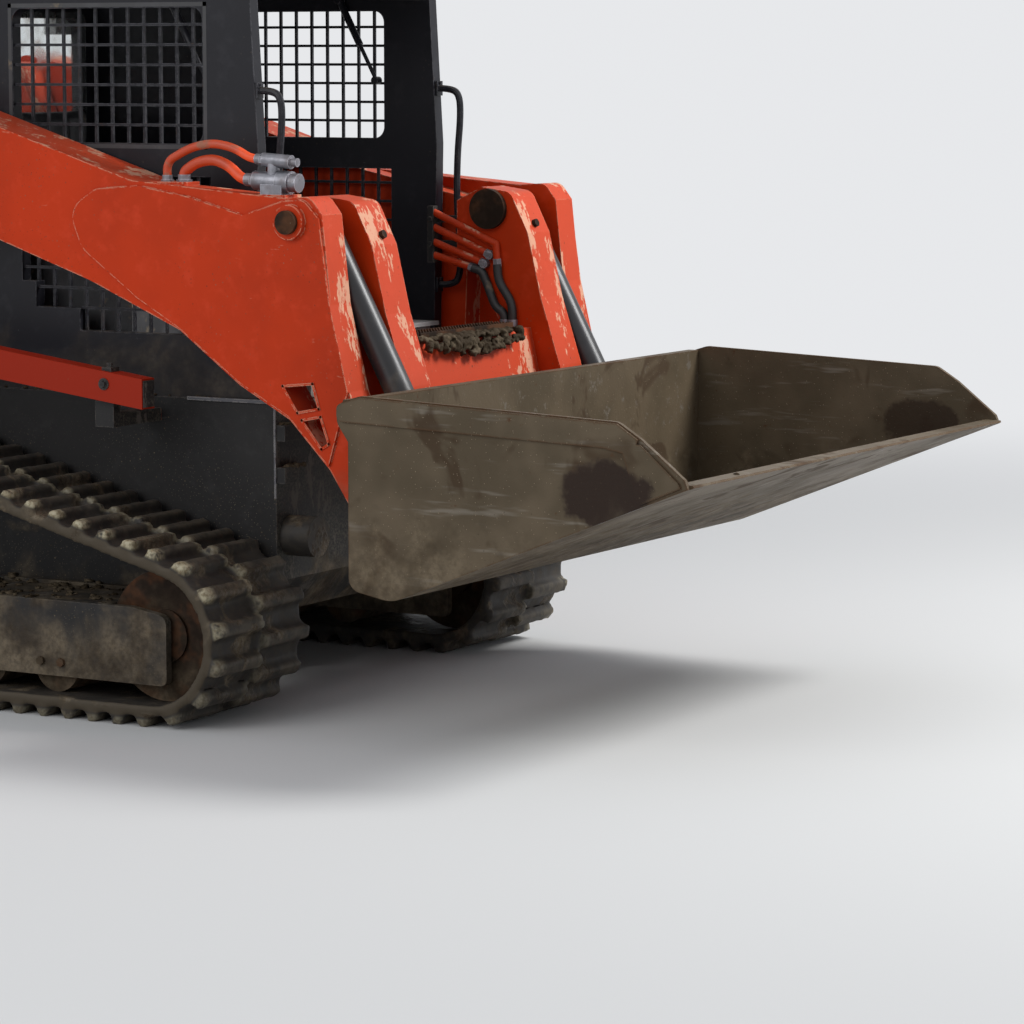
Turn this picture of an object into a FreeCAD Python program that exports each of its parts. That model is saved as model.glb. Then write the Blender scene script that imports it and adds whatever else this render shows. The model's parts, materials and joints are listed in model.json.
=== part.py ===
"""Compact track loader: chassis on two rubber tracks, cab, lift arms and bucket.

Frame: +X forward, +Y to the operator's left, +Z up, millimetres. The origin is on the
ground, midway between the bucket's edge and the rear bumper.
"""

import FreeCAD, Part
import math
import os
import Sketcher
from FreeCAD import Placement, Rotation, Vector

# Driving dimensions: name, value, meaning

SIZES = [
    ("track_gap", 18.0, "chassis tub to the inner edge of a track"),
    ("track_width", 450.0, "width of a track"),
    ("belt_thick", 30.0, "thickness of the rubber belt"),
    ("lug_tall", 30.0, "height of a lug on the belt"),
    ("lug_pitch", 86.0, "spacing of the lugs"),
    ("lug_top", 26.0, "length of a lug at its top"),
    ("lug_foot", 46.0, "length of a lug at its foot"),
    ("front_idler_x", 154.0, "front idler axle"),
    ("front_idler_radius", 185.0, "front idler rolling radius"),
    ("rear_idler_x", -1470.0, "rear idler axle"),
    ("rear_idler_radius", 130.0, "rear idler rolling radius"),
    ("sprocket_x", -1250.0, "drive sprocket axle"),
    ("sprocket_z", 560.0, "drive sprocket axle"),
    ("sprocket_radius", 250.0, "belt radius at the drive sprocket"),
    ("sprocket_tooth", 34.0, "depth of a sprocket tooth"),
    ("roller_radius", 75.0, "bottom roller"),
    ("axle_radius", 30.0, "idler and roller axles"),
    ("running_gap", 0.4, "gap between curved faces that run together"),
    ("frame_top", 325.0, "top of the track frame"),
    ("frame_bottom", 110.0, "bottom of the track frame plates"),
    ("frame_front", 184.0, "front end of the track frame plates"),
    ("frame_rear", -1510.0, "rear end of the track frame plates"),
    ("frame_plate", 25.0, "thickness of a track frame plate"),
    ("frame_inset", 50.0, "track frame plate from the track edge"),
    ("tub_half", 512.0, "half width of the chassis tub"),
    ("tub_front", 275.0, "front of the chassis tub"),
    ("tub_rear", -1760.0, "rear of the chassis tub"),
    ("tub_bottom", 250.0, "underside of the chassis tub"),
    ("tub_top", 870.0, "deck of the chassis tub"),
    ("tub_wall", 15.0, "wall of the chassis tub"),
    ("bay_front", -1130.0, "front wall of the engine bay"),
    ("bumper_rear", -1850.0, "rear face of the rear bumper"),
    ("bumper_tall", 130.0, "height of the rear bumper"),
    ("tie_hole", 25.0, "radius of a tie down hole"),
    ("tower_inset", 7.0, "outer face of a tower from the tub side"),
    ("tower_thick", 120.0, "thickness of a lift arm tower"),
    ("pivot_x", -1410.0, "lift arm pivot"),
    ("pivot_z", 1730.0, "lift arm pivot"),
    ("pivot_pin", 35.0, "radius of the lift arm pivot pin"),
    ("arm_gap", 15.0, "cab side to the inner face of a lift arm"),
    ("arm_wide", 180.0, "width of a lift arm"),
    ("arm_back", 80.0, "inner face of a lift arm to its outer leg"),
    ("leg_wide", 130.0, "width of the inner leg"),
    ("leg_set", 20.0, "outer face of the inner leg inside the arm"),
    ("knee_pin_x", 458.0, "tilt cylinder pin in the knee"),
    ("knee_pin_z", 1389.0, "tilt cylinder pin in the knee"),
    ("hinge_x", 740.0, "bucket hinge pin"),
    ("hinge_z", 540.0, "bucket hinge pin"),
    ("hinge_pin", 22.0, "radius of the bucket hinge pin"),
    ("tilt_arm", 280.0, "bucket hinge to tilt rod pin"),
    ("tilt_angle", 85.0, "angle of the tilt rod pin above the hinge"),
    ("tilt_set", 30.0, "middle of a tilt cylinder from the arm inner face"),
    ("tilt_barrel_radius", 40.0, "tilt cylinder barrel"),
    ("tilt_barrel_length", 555.0, "tilt cylinder barrel from its pin"),
    ("tilt_rod_radius", 22.0, "tilt cylinder rod"),
    ("tilt_rod_length", 590.0, "tilt cylinder rod to its pin"),
    ("lift_base_x", -1600.0, "lift cylinder base pin"),
    ("lift_base_z", 960.0, "lift cylinder base pin"),
    ("lift_pin_x", -850.0, "lift cylinder pin on the arm"),
    ("lift_pin_z", 1365.0, "lift cylinder pin on the arm"),
    ("lift_set", 90.0, "middle of a lift cylinder from the arm inner face"),
    ("lift_barrel_radius", 47.0, "lift cylinder barrel"),
    ("lift_barrel_length", 650.0, "lift cylinder barrel from its pin"),
    ("lift_rod_radius", 25.0, "lift cylinder rod"),
    ("lift_rod_length", 708.0, "lift cylinder rod to its pin"),
    ("pin_radius", 20.0, "cylinder pins"),
    ("eye_radius", 42.0, "cylinder eyes"),
    ("rod_eye_radius", 30.0, "cylinder rod eyes"),
    ("eye_wide", 54.0, "width of a cylinder eye"),
    ("ear_thick", 16.0, "thickness of a pin ear"),
    ("ear_gap", 1.0, "clearance between an ear and its eye"),
    ("pin_fit", 0.5, "clearance round a pin"),
    ("cab_inset", 7.0, "cab side from the tub side"),
    ("cab_wall", 40.0, "thickness of a cab side frame"),
    ("cab_rear", -1090.0, "rear face of the cab"),
    ("cab_top", 2140.0, "top of the cab roof"),
    ("roof_thick", 55.0, "thickness of the roof"),
    ("glass_thick", 6.0, "window glass"),
    ("screen_pitch", 57.0, "spacing of the screen bars"),
    ("screen_bar", 8.0, "width of a screen bar"),
    ("bucket_half", 1016.0, "half width of the bucket"),
    ("bucket_tip_x", 1850.0, "bucket edge"),
    ("bucket_tip_z", 764.0, "bucket edge"),
    ("bucket_back", 830.0, "back of the bucket"),
    ("bucket_top", 940.0, "top of the bucket back"),
    ("heel_x", 966.0, "lowest point of the bucket"),
    ("heel_z", 412.0, "lowest point of the bucket"),
    ("bucket_plate", 12.0, "bucket shell plate"),
    ("cheek_plate", 14.0, "bucket side plate"),
    ("edge_plate", 24.0, "cutting edge plate"),
    ("edge_deep", 170.0, "cutting edge plate along the floor"),
    ("coupler_rim", 50.0, "coupler plate outside the middle of the tilt rods"),
    ("rear_window_rim", 125.0, "cab side to the edge of the rear window"),
    ("coupler_thick", 30.0, "thickness of the coupler plate"),
    ("door_half", 378.0, "half width of the rear door"),
    ("door_thick", 45.0, "thickness of the rear door"),
    ("door_top", 1290.0, "top of the rear door"),
    ("hood_top", 1600.0, "top of the engine hood"),
    ("hood_thick", 40.0, "thickness of the engine hood"),
    ("rail_gap", 14.0, "lift arm to the side rail"),
    ("rail_tall", 85.0, "height of the side rail"),
    ("rail_wide", 60.0, "width of the side rail"),
    ("handle_radius", 11.0, "grab handle tube"),
    ("seam", 5.0, "gap round a door or a hood"),
    ("gusset_thick", 8.0, "doubling plate on a lift arm"),
    ("strip_thick", 8.0, "strip along the top of a bucket side plate"),
    ("louvre_count", 8.0, "louvres on the rear door"),
]

document = FreeCAD.newDocument("compact_track_loader")
sheet = document.addObject("Spreadsheet::Sheet", "sizes")


class Size:
    """A number that carries the sheet expression it comes from."""

    def __init__(self, value, text):
        self.value = float(value)
        self.text = text

    def __float__(self):
        return self.value

    def __add__(self, other):
        other = as_size(other)
        return Size(self.value + other.value, f"({self.text} + {other.text})")

    def __sub__(self, other):
        other = as_size(other)
        return Size(self.value - other.value, f"({self.text} - {other.text})")

    def __mul__(self, other):
        other = as_size(other)
        return Size(self.value * other.value, f"{self.text} * {other.text}")

    def __truediv__(self, other):
        other = as_size(other)
        return Size(self.value / other.value, f"{self.text} / {other.text}")

    def __radd__(self, other):
        return as_size(other) + self

    def __rsub__(self, other):
        return as_size(other) - self

    def __rmul__(self, other):
        return as_size(other) * self

    def __neg__(self):
        return as_size(0) - self


def as_size(number):
    return number if isinstance(number, Size) else Size(number, f"({float(number):.4f})")


class Dimensions:
    """The driving dimensions by name."""


d = Dimensions()
for row, (name, value, meaning) in enumerate(SIZES, 1):
    sheet.set(f"A{row}", meaning)
    sheet.set(f"B{row}", str(value))
    sheet.setAlias(f"B{row}", name)
    setattr(d, name, Size(value, "sizes." + name))
document.recompute()

# What follows from the width of the chassis tub

d.track_inner = d.tub_half + d.track_gap
d.tower_outer = d.tub_half - d.tower_inset
d.tower_inner = d.tower_outer - d.tower_thick
d.cab_half = d.tub_half - d.cab_inset
d.arm_inner = d.cab_half + d.arm_gap
d.arm_split = d.arm_inner + d.arm_back
d.arm_outer = d.arm_inner + d.arm_wide
d.leg_outer = d.arm_inner - d.leg_set
d.leg_inner = d.leg_outer - d.leg_wide
d.tilt_y = d.arm_inner + d.tilt_set
d.lift_y = d.arm_inner + d.lift_set
d.coupler_half = d.tilt_y + d.coupler_rim
d.rear_window_half = d.cab_half - d.rear_window_rim
d.rail_y = d.arm_outer + d.rail_gap

# Making solids

nodes = []
LEFT = 1
RIGHT = -1
SIDES = (("left", LEFT), ("right", RIGHT))


def bind(item, path, number):
    item.setExpression(path, as_size(number).text)


def place(item, x, y, z):
    bind(item, "Placement.Base.x", x)
    bind(item, "Placement.Base.y", y)
    bind(item, "Placement.Base.z", z)


def node(name, item):
    """Name a finished sub-part; its label names its file."""
    item.Label = name
    nodes.append(item)
    return item


def across(side, inner, outer):
    """Low and high Y of a span that is given from the middle outwards."""
    return (inner, outer) if side == LEFT else (-outer, -inner)


def block(name, x, y, z):
    """A box from its (low, high) spans."""
    item = document.addObject("Part::Box", name)
    bind(item, "Length", x[1] - x[0])
    bind(item, "Width", y[1] - y[0])
    bind(item, "Height", z[1] - z[0])
    place(item, x[0], y[0], z[0])
    return item


def rod_y(name, radius, x, z, y):
    """A round bar along Y between the span y."""
    item = document.addObject("Part::Cylinder", name)
    bind(item, "Radius", radius)
    bind(item, "Height", y[1] - y[0])
    item.Placement = Placement(Vector(), Rotation(Vector(1, 0, 0), -90))
    place(item, x, y[0], z)
    return item


def upright(name, radius, x, y, z):
    """A round bar along Z between the span z."""
    item = document.addObject("Part::Cylinder", name)
    bind(item, "Radius", radius)
    bind(item, "Height", z[1] - z[0])
    place(item, x, y, z[0])
    return item


def rod_between(name, radius, start, end, y):
    """A round bar in the plane of height y, from start to end (x, z)."""
    item = document.addObject("Part::Cylinder", name)
    run = Vector(float(end[0]) - float(start[0]), 0, float(end[1]) - float(start[1]))
    bind(item, "Radius", radius)
    item.Height = run.Length
    item.Placement = Placement(Vector(), Rotation(Vector(0, 0, 1), run))
    place(item, start[0], y, start[1])
    return item


def fuse(name, items):
    if len(items) == 1:
        return items[0]
    item = document.addObject("Part::MultiFuse", name)
    item.Shapes = items
    item.Refine = True
    return item


def cut(name, base, tool):
    item = document.addObject("Part::Cut", name)
    item.Base = base
    item.Tool = tool
    item.Refine = True
    return item


def together(name, items):
    """Solids that don't touch, kept as one sub-part."""
    item = document.addObject("Part::Compound", name)
    item.Links = items
    return item


def origin_plane(body, role):
    return next(part for part in body.Origin.OriginFeatures if part.Role == role)


def loop_edges(corners):
    points = [Vector(float(corner[0]), float(corner[1]), 0) for corner in corners]
    return [Part.LineSegment(points[i - 1], points[i]) for i in range(len(points))]


def sketch_on(body, role, offset, loops, circles=()):
    """A sketch whose corners and centres are held from the origin by the sheet."""
    sketch = body.newObject("Sketcher::SketchObject", body.Name + "_outline")
    sketch.AttachmentSupport = [(origin_plane(body, role), "")]
    sketch.MapMode = "FlatFace"
    bind(sketch, "AttachmentOffset.Base.z", offset)
    for corners in loops:
        first = sketch.GeometryCount
        count = len(corners)
        sketch.addGeometry(loop_edges(corners), False)
        sketch.addConstraint([
            Sketcher.Constraint("Coincident", first + i, 2, first + (i + 1) % count, 1)
            for i in range(count)])
        for i, corner in enumerate(corners):
            hold_point(sketch, first + i, 2, corner)
    for x, z, radius in circles:
        circle = sketch.addGeometry(
            Part.Circle(Vector(float(x), float(z), 0), Vector(0, 0, 1), float(radius)), False)
        hold_point(sketch, circle, 3, (x, z))
        index = sketch.addConstraint(Sketcher.Constraint("Radius", circle, float(radius)))
        bind(sketch, f"Constraints[{index}]", radius)
    return sketch


def hold_point(sketch, geometry, end, corner):
    for kind, number in (("DistanceX", corner[0]), ("DistanceY", corner[1])):
        index = sketch.addConstraint(
            Sketcher.Constraint(kind, -1, 1, geometry, end, float(number)))
        bind(sketch, f"Constraints[{index}]", number)


def round_corners(body, pad, corners, across_axes):
    """Fillet the pad's edges at the corners that carry a radius."""
    by_radius = {}
    for corner in corners:
        if len(corner) > 2:
            by_radius.setdefault(float(corner[2]), []).append(corner)
    base = pad
    for radius, group in by_radius.items():
        document.recompute()
        names = []
        for index, edge in enumerate(base.Shape.Edges, 1):
            ends = [vertex.Point for vertex in edge.Vertexes]
            for corner in group:
                near = all(abs(getattr(end, across_axes[0]) - float(corner[0])) < 0.01
                           and abs(getattr(end, across_axes[1]) - float(corner[1])) < 0.01
                           for end in ends)
                if near and len(ends) == 2:
                    names.append(f"Edge{index}")
        fillet = body.newObject("PartDesign::Fillet", body.Name + "_round")
        fillet.Base = (base, names)
        bind(fillet, "Radius", group[0][2])
        base = fillet
    return base


PLANES = {
    "y": ("XZ_Plane", "xz"),
    "z": ("XY_Plane", "xy"),
    "x": ("YZ_Plane", "yz"),
}


def plate(name, axis, span, corners, windows=(), circles=()):
    """A plate of the outline's shape, between the span's two faces along the axis.

    A corner is (u, v) or (u, v, radius); windows are more loops, circles are round holes.
    """
    role, across_axes = PLANES[axis]
    body = document.addObject("PartDesign::Body", name)
    offset = -span[1] if axis == "y" else span[0]
    sketch = sketch_on(body, role, offset, [corners, *windows], circles)
    pad = body.newObject("PartDesign::Pad", name + "_pad")
    pad.Profile = sketch
    bind(pad, "Length", span[1] - span[0])
    sketch.Visibility = False
    every_corner = [corner for loop in (corners, *windows) for corner in loop]
    body.Tip = round_corners(body, pad, every_corner, across_axes)
    return body


def rectangle(u, v, radius=None):
    spots = [(u[0], v[0]), (u[1], v[0]), (u[1], v[1]), (u[0], v[1])]
    return spots if radius is None else [(*spot, radius) for spot in spots]


# Tracks

lug_reach = d.belt_thick + d.lug_tall
front_idler_z = lug_reach + d.front_idler_radius
rear_idler_z = lug_reach + d.rear_idler_radius
track_outer = d.track_inner + d.track_width
frame_outer = track_outer - d.frame_inset
frame_inner = d.track_inner + d.frame_inset

WHEELS = [
    # x, z, radius, in order round the loop: front, drive sprocket, rear
    (d.front_idler_x, front_idler_z, d.front_idler_radius),
    (d.sprocket_x, d.sprocket_z, d.sprocket_radius),
    (d.rear_idler_x, rear_idler_z, d.rear_idler_radius),
]


def tangent_angle(first, second):
    """Direction of the outward normal of the belt run from one wheel to the next."""
    run_x = float(second[0]) - float(first[0])
    run_z = float(second[1]) - float(first[1])
    length = math.hypot(run_x, run_z)
    along = math.atan2(run_z, run_x)
    return along - math.pi / 2 + math.asin((float(first[2]) - float(second[2])) / length)


def belt_runs():
    """The loop as pieces: ("arc", wheel, from angle, to angle) and ("line", wheel, wheel, angle)."""
    count = len(WHEELS)
    normals = [tangent_angle(WHEELS[i], WHEELS[(i + 1) % count]) for i in range(count)]
    runs = []
    for i in range(count):
        begin = normals[i - 1]
        end = normals[i]
        while end < begin:
            end += 2 * math.pi
        runs.append(("arc", WHEELS[i], begin, end))
        runs.append(("line", WHEELS[i], WHEELS[(i + 1) % count], normals[i]))
    return runs


def on_wheel(wheel, angle, lift):
    reach = float(wheel[2]) + lift
    return Vector(float(wheel[0]) + reach * math.cos(angle), 0,
                  float(wheel[1]) + reach * math.sin(angle))


def run_length(run):
    if run[0] == "arc":
        return float(run[1][2]) * (run[3] - run[2])
    return (on_wheel(run[1], run[3], 0) - on_wheel(run[2], run[3], 0)).Length


def loop_point(runs, distance, lift):
    """Point at a distance along the belt's inner face, lifted off it by lift."""
    for run in runs:
        length = run_length(run)
        if distance <= length:
            break
        distance -= length
    share = min(distance / length, 1.0)
    if run[0] == "arc":
        return on_wheel(run[1], run[2] + share * (run[3] - run[2]), lift)
    start = on_wheel(run[1], run[3], lift)
    end = on_wheel(run[2], run[3], lift)
    return start + (end - start) * share


def belt_inside(runs):
    edges = []
    for run in runs:
        if run[0] == "arc":
            middle = (run[2] + run[3]) / 2
            edges.append(Part.Arc(on_wheel(run[1], run[2], 0), on_wheel(run[1], middle, 0),
                                  on_wheel(run[1], run[3], 0)).toShape())
        else:
            edges.append(Part.LineSegment(on_wheel(run[1], run[3], 0),
                                          on_wheel(run[2], run[3], 0)).toShape())
    return Part.Wire(edges)


def lugged_outline(runs, shift):
    """The belt's outer outline with a lug at every pitch, shifted by a share of the pitch."""
    total = sum(run_length(run) for run in runs)
    lug_count = round(total / float(d.lug_pitch))
    pitch = total / lug_count
    foot = float(d.lug_foot) / 2
    top = float(d.lug_top) / 2
    base = float(d.belt_thick)
    tip = float(lug_reach)
    points = []
    for i in range(lug_count):
        middle = (i + shift) * pitch
        for step, lift in ((-foot, base), (-top, tip), (top, tip), (foot, base)):
            points.append(loop_point(runs, (middle + step) % total, lift))
    return Part.makePolygon(points + points[:1])


def track_shape(side):
    """One belt: its inner and outer halves carry their lugs half a pitch apart."""
    runs = belt_runs()
    inside = belt_inside(runs)
    half = float(d.track_width) / 2
    parts = []
    for band, shift in ((0, 0.25), (1, 0.75)):
        face = Part.makeFace([lugged_outline(runs, shift), inside], "Part::FaceMakerBullseye")
        low = float(d.track_inner) + band * half
        start = low if side == LEFT else -low - half
        face.translate(Vector(0, start, 0))
        parts.append(face.extrude(Vector(0, half, 0)))
    return parts[0].fuse(parts[1])


def make_tracks():
    for word, side in SIDES:
        item = document.addObject("Part::Feature", "track_" + word)
        item.Shape = track_shape(side)
        node("track_" + word, item)


ROLLER_SPOTS = [-1210.0, -960.0, -710.0, -460.0, -210.0]


def make_track_frames():
    for word, side in SIDES:
        name = "track_frame_" + word
        plates = []
        outline = [
            (d.frame_rear, d.frame_bottom, 20),
            (d.frame_front, d.frame_bottom, 20),
            (d.frame_front, d.frame_top - 20, 30),
            (d.frame_front - 120, d.frame_top, 30),
            (d.frame_rear + 140, d.frame_top, 30),
            (d.frame_rear, rear_idler_z + 50, 20),
        ]
        for inner in (frame_inner, frame_outer - d.frame_plate):
            span = across(side, inner, inner + d.frame_plate)
            plates.append(plate(name + "_plate", "y", span, outline))
        beam = block(name + "_beam", (d.sprocket_x + 110,
                                      d.front_idler_x - d.front_idler_radius - 30),
                     across(side, frame_inner + 10, frame_outer - 10),
                     (lug_reach + d.roller_radius * 2 + 15, d.frame_top - 10))
        mounts = [block(name + "_mount", (x, x + 160), across(side, d.tub_half, frame_inner),
                        (d.tub_bottom + 10, d.frame_top - 10)) for x in (-1080.0, -260.0)]
        node(name, fuse(name, plates + [beam] + mounts))


def make_rollers():
    rollers = []
    idlers = []
    inner = frame_inner + d.frame_plate
    outer = frame_outer - d.frame_plate
    for word, side in SIDES:
        for x in ROLLER_SPOTS:
            rollers.append(rod_y("roller", d.roller_radius - d.running_gap, x,
                                 lug_reach + d.roller_radius,
                                 across(side, inner, outer)))
        for x, z, radius in (WHEELS[0], WHEELS[2]):
            rims = [rod_y("idler_rim", radius - d.running_gap, x, z,
                          across(side, inner + start, inner + start + 60))
                    for start in (70, 220)]
            axle = rod_y("idler_axle", d.axle_radius, x, z, across(side, inner, outer))
            hub = rod_y("idler_hub", 75, x, z, across(side, inner + 40, outer - 10))
            idlers.append(fuse("idler", rims + [hub, axle]))
    node("rollers", together("rollers_set", rollers))
    node("idlers", together("idlers_set", idlers))


def sprocket_outline():
    tooth_count = 13
    tip = float(d.sprocket_radius) - float(d.running_gap)
    root = tip - float(d.sprocket_tooth)
    points = []
    for i in range(tooth_count):
        for share, radius in ((-0.3, root), (-0.14, tip), (0.14, tip), (0.3, root)):
            angle = 2 * math.pi * (i + share) / tooth_count
            points.append(Vector(float(d.sprocket_x) + radius * math.cos(angle), 0,
                                 float(d.sprocket_z) + radius * math.sin(angle)))
    return Part.makePolygon(points + points[:1])


def make_sprockets():
    sprockets = []
    for word, side in SIDES:
        low, high = across(side, d.track_inner + 195, d.track_inner + 235)
        wheel = document.addObject("Part::Feature", "sprocket_wheel")
        face = Part.Face(sprocket_outline())
        face.translate(Vector(0, float(low), 0))
        wheel.Shape = face.extrude(Vector(0, float(high) - float(low), 0))
        hub = rod_y("sprocket_hub", 150, d.sprocket_x, d.sprocket_z,
                    across(side, d.tub_half, d.track_inner + 260))
        cap = rod_y("sprocket_cap", 105, d.sprocket_x, d.sprocket_z,
                    across(side, d.track_inner + 260, d.track_inner + 300))
        sprockets.append(fuse("sprocket", [wheel, hub, cap]))
    node("drive_sprockets", together("sprockets_set", sprockets))


# Chassis

def make_tub():
    outline = [
        (d.tub_rear, d.tub_bottom + 120), (d.tub_rear + 160, d.tub_bottom),
        (d.tub_front - 90, d.tub_bottom), (d.tub_front, d.tub_bottom + 110),
        (d.tub_front, d.tub_top, 15), (d.tub_rear, d.tub_top),
    ]
    hull = plate("tub_hull", "y", (-d.tub_half, d.tub_half), outline)
    bay = block("tub_bay", (d.tub_rear + 30, d.bay_front),
                (-(d.tub_half - d.tub_wall), d.tub_half - d.tub_wall),
                (d.tub_bottom + 130, d.tub_top + 10))
    doorway = block("tub_doorway", (d.tub_rear - 10, d.tub_rear + 40),
                    (-(d.door_half - 20), d.door_half - 20), (d.tub_bottom + 260, d.tub_top + 10))
    node("chassis_tub", cut("chassis_tub", hull, fuse("tub_hollows", [bay, doorway])))


def make_towers():
    top = d.pivot_z + 95
    outline = [
        (d.tub_rear, d.tub_top), (d.bay_front, d.tub_top),
        (d.bay_front, d.hood_top - 250), (d.pivot_x + 170, d.hood_top + 60, 60),
        (d.pivot_x + 95, top, 50), (d.pivot_x - 95, top, 60),
        (d.pivot_x - 160, d.pivot_z - 60, 60), (d.tub_rear, d.hood_top - 330, 80),
    ]
    for word, side in SIDES:
        name = "tower_" + word
        wall = plate(name + "_wall", "y", across(side, d.tower_inner, d.tower_outer), outline)
        pin = rod_y(name + "_pin", d.pivot_pin, d.pivot_x, d.pivot_z,
                    across(side, d.tower_outer - 5, d.arm_outer + 12))
        collar = rod_y(name + "_collar", 75, d.pivot_x, d.pivot_z,
                       across(side, d.tower_outer - 5, d.arm_inner - d.pin_fit))
        base = rod_y(name + "_lift_boss", 55, d.lift_base_x, d.lift_base_z,
                     across(side, d.tower_outer - 5, d.lift_y - d.lift_barrel_radius - 3))
        base_pin = rod_y(name + "_lift_pin", d.pin_radius, d.lift_base_x, d.lift_base_z,
                         across(side, d.lift_y - 55, d.lift_y + d.eye_wide / 2 + 14))
        node(name, fuse(name, [wall, pin, collar, base, base_pin]))


def make_engine():
    node("engine_block", block("engine_block", (-1600.0, d.bay_front - 120), (-260.0, 260.0),
                               (d.tub_bottom + 130, 1180.0)))


def make_bumper():
    half = d.tub_half + 5
    top = d.tub_bottom + 110 + d.bumper_tall
    bar = block("bumper_bar", (d.bumper_rear, d.tub_rear), (-half, half),
                (top - d.bumper_tall, top))
    eyes = [rod_y("tie_hole", d.tie_hole, d.bumper_rear + 40, top - d.bumper_tall / 2,
                  across(side, half - 40, half + 10)) for word, side in SIDES]
    node("rear_bumper", cut("rear_bumper", bar, fuse("tie_holes", eyes)))
    lamps = [block("tail_lamp", (d.tub_rear - 14, d.tub_rear),
                   across(side, d.tower_inner + 55, d.tower_outer - 12),
                   (d.hood_top - 500, d.hood_top - 400)) for word, side in SIDES]
    node("tail_lamps", together("tail_lamps_set", lamps))


def make_side_rails():
    rails = []
    slope = math.tan(math.radians(7.4))
    front = (0.0, 858.0)
    rear_x = -1120.0
    rise = (front[0] - rear_x) * slope
    for word, side in SIDES:
        outline = [(front[0], front[1]), (front[0], d.rail_tall + front[1]),
                   (rear_x, d.rail_tall + front[1] + rise), (rear_x, front[1] + rise)]
        rail = plate("side_rail_" + word, "y", across(side, d.rail_y, d.rail_y + d.rail_wide),
                     outline)
        stays = []
        for x in (-180.0, -900.0):
            low = front[1] - x * slope
            foot = across(side, d.tub_half, d.rail_y + 30)
            stay_foot = block("rail_stay_foot", (x, x + 60), foot, (low - 80, low - 45))
            stay_post = block("rail_stay_post", (x, x + 60), across(side, d.rail_y, d.rail_y + 30),
                              (low - 80, low + 20))
            stays.append(fuse("rail_stay", [stay_foot, stay_post]))
        rails.append(fuse("side_rail", [rail] + stays))
    node("side_rails", together("side_rails_set", rails))


def make_front_fittings():
    buffers = []
    for word, side in SIDES:
        buffer = document.addObject("Part::Cylinder", "front_buffer")
        buffer.Radius = 58
        buffer.Height = 95
        buffer.Placement = Placement(Vector(), Rotation(Vector(0, 1, 0), 90))
        place(buffer, d.tub_front, side * 440, 485)
        buffers.append(buffer)
    node("front_buffers", together("front_buffers_set", buffers))
    steps = []
    for word, side in SIDES:
        for z in (640.0, 760.0):
            steps.append(block("front_step", (d.tub_front, d.tub_front + 30),
                               across(side, d.tub_half - 110, d.tub_half), (z, z + 45)))
    node("front_steps", together("front_steps_set", steps))
    nose = block("nose", (190.0, 275.0), (-330.0, 330.0), (d.tub_top, 1040.0))
    lip = block("nose_lip", (150.0, 305.0), (-330.0, 330.0), (1040.0, 1052.0))
    node("cab_sill", fuse("cab_sill", [nose, lip]))


# Cab

roof_under = d.cab_top - d.roof_thick
window_top = d.cab_top - 162
window_sill = d.cab_top - 547

CAB_OUTLINE = [
    # x, z, corner radius
    (205, d.tub_top, 10),
    (217, window_sill - 13),
    (190, roof_under - 45, 60),
    (150, roof_under, 20),
    (-1040, roof_under, 40),
    (d.cab_rear, roof_under - 445, 60),
    (d.cab_rear, d.tub_top, 10),
]
SIDE_WINDOW = [(-640, window_sill, 35), (30, window_sill, 35), (30, window_top, 35),
               (-640, window_top, 35)]
LOWER_GRID = [(-616, 1277), (-616, 1189), (-567, 1189), (-567, 1114), (-409, 1114),
              (-409, 1049), (55, 1049), (55, 1277)]


def make_cab():
    for word, side in SIDES:
        name = "cab_side_" + word
        node(name, plate(name, "y", across(side, d.cab_half - d.cab_wall, d.cab_half),
                         CAB_OUTLINE, [SIDE_WINDOW, LOWER_GRID]))
    inside = d.cab_half - d.cab_wall
    roof = plate("cab_roof", "z", (roof_under, d.cab_top),
                 rectangle((-1040.0, 165.0), (-d.cab_half, d.cab_half), 60))
    node("cab_roof", roof)
    wall = plate("cab_rear_wall", "x", (d.cab_rear, d.cab_rear + 40),
                 rectangle((-inside, inside), (d.tub_top, roof_under - 60)),
                 [rectangle((-d.rear_window_half, d.rear_window_half),
                            (roof_under - 445, roof_under - 125), 40)])
    node("cab_rear_wall", wall)
    floor = block("cab_floor", (d.cab_rear + 40, 190.0), (-inside, inside),
                  (d.tub_top, d.tub_top + 12))
    node("cab_floor", floor)
    header = block("cab_header", (120.0, 160.0), (-inside, inside),
                   (roof_under - 75, roof_under))
    node("cab_header", header)


GRID_FLOORS = [(-567, 1189.0), (-409, 1114.0), (100, 1049.0)]
GRID_ROWS = [(1225.0, -616.0), (1168.0, -567.0), (1111.0, -409.0)]


def make_screens():
    lower_grids = []
    for word, side in SIDES:
        bars = []
        inner = d.cab_half - d.cab_wall + 14
        span = across(side, inner, inner + d.screen_bar)
        outer_span = across(side, inner + d.screen_bar, inner + d.screen_bar * 2)
        for i in range(11):
            x = -640 + d.screen_pitch * (i + 0.9)
            bars.append(block("bar_up", (x, x + d.screen_bar), span, (window_sill, window_top)))
        for i in range(6):
            z = window_sill + d.screen_pitch * (i + 0.85)
            bars.append(block("bar_along", (-640.0, 30.0), outer_span, (z, z + d.screen_bar)))
        grid = []
        for i in range(11):
            x = -616 + d.screen_pitch * (i + 0.7)
            low = next(floor for right, floor in GRID_FLOORS if float(x + d.screen_bar) < right)
            grid.append(block("grid_up", (x, x + d.screen_bar), span, (low, 1277.0)))
        for z, left in GRID_ROWS:
            grid.append(block("grid_along", (left, 55.0), outer_span, (z, z + d.screen_bar)))
        lower_grids.append(fuse("lower_grid", grid))
        node("window_screen_" + word, fuse("window_screen_" + word, bars))
    node("lower_screens", together("lower_screens_set", lower_grids))


HANDLE_PATH = [(208.6, 1745), (262, 1745), (286, 1700), (286, 1185), (256, 1150), (210.6, 1150)]
STRUT = ((-122, 2012), (11, 1768))


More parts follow.
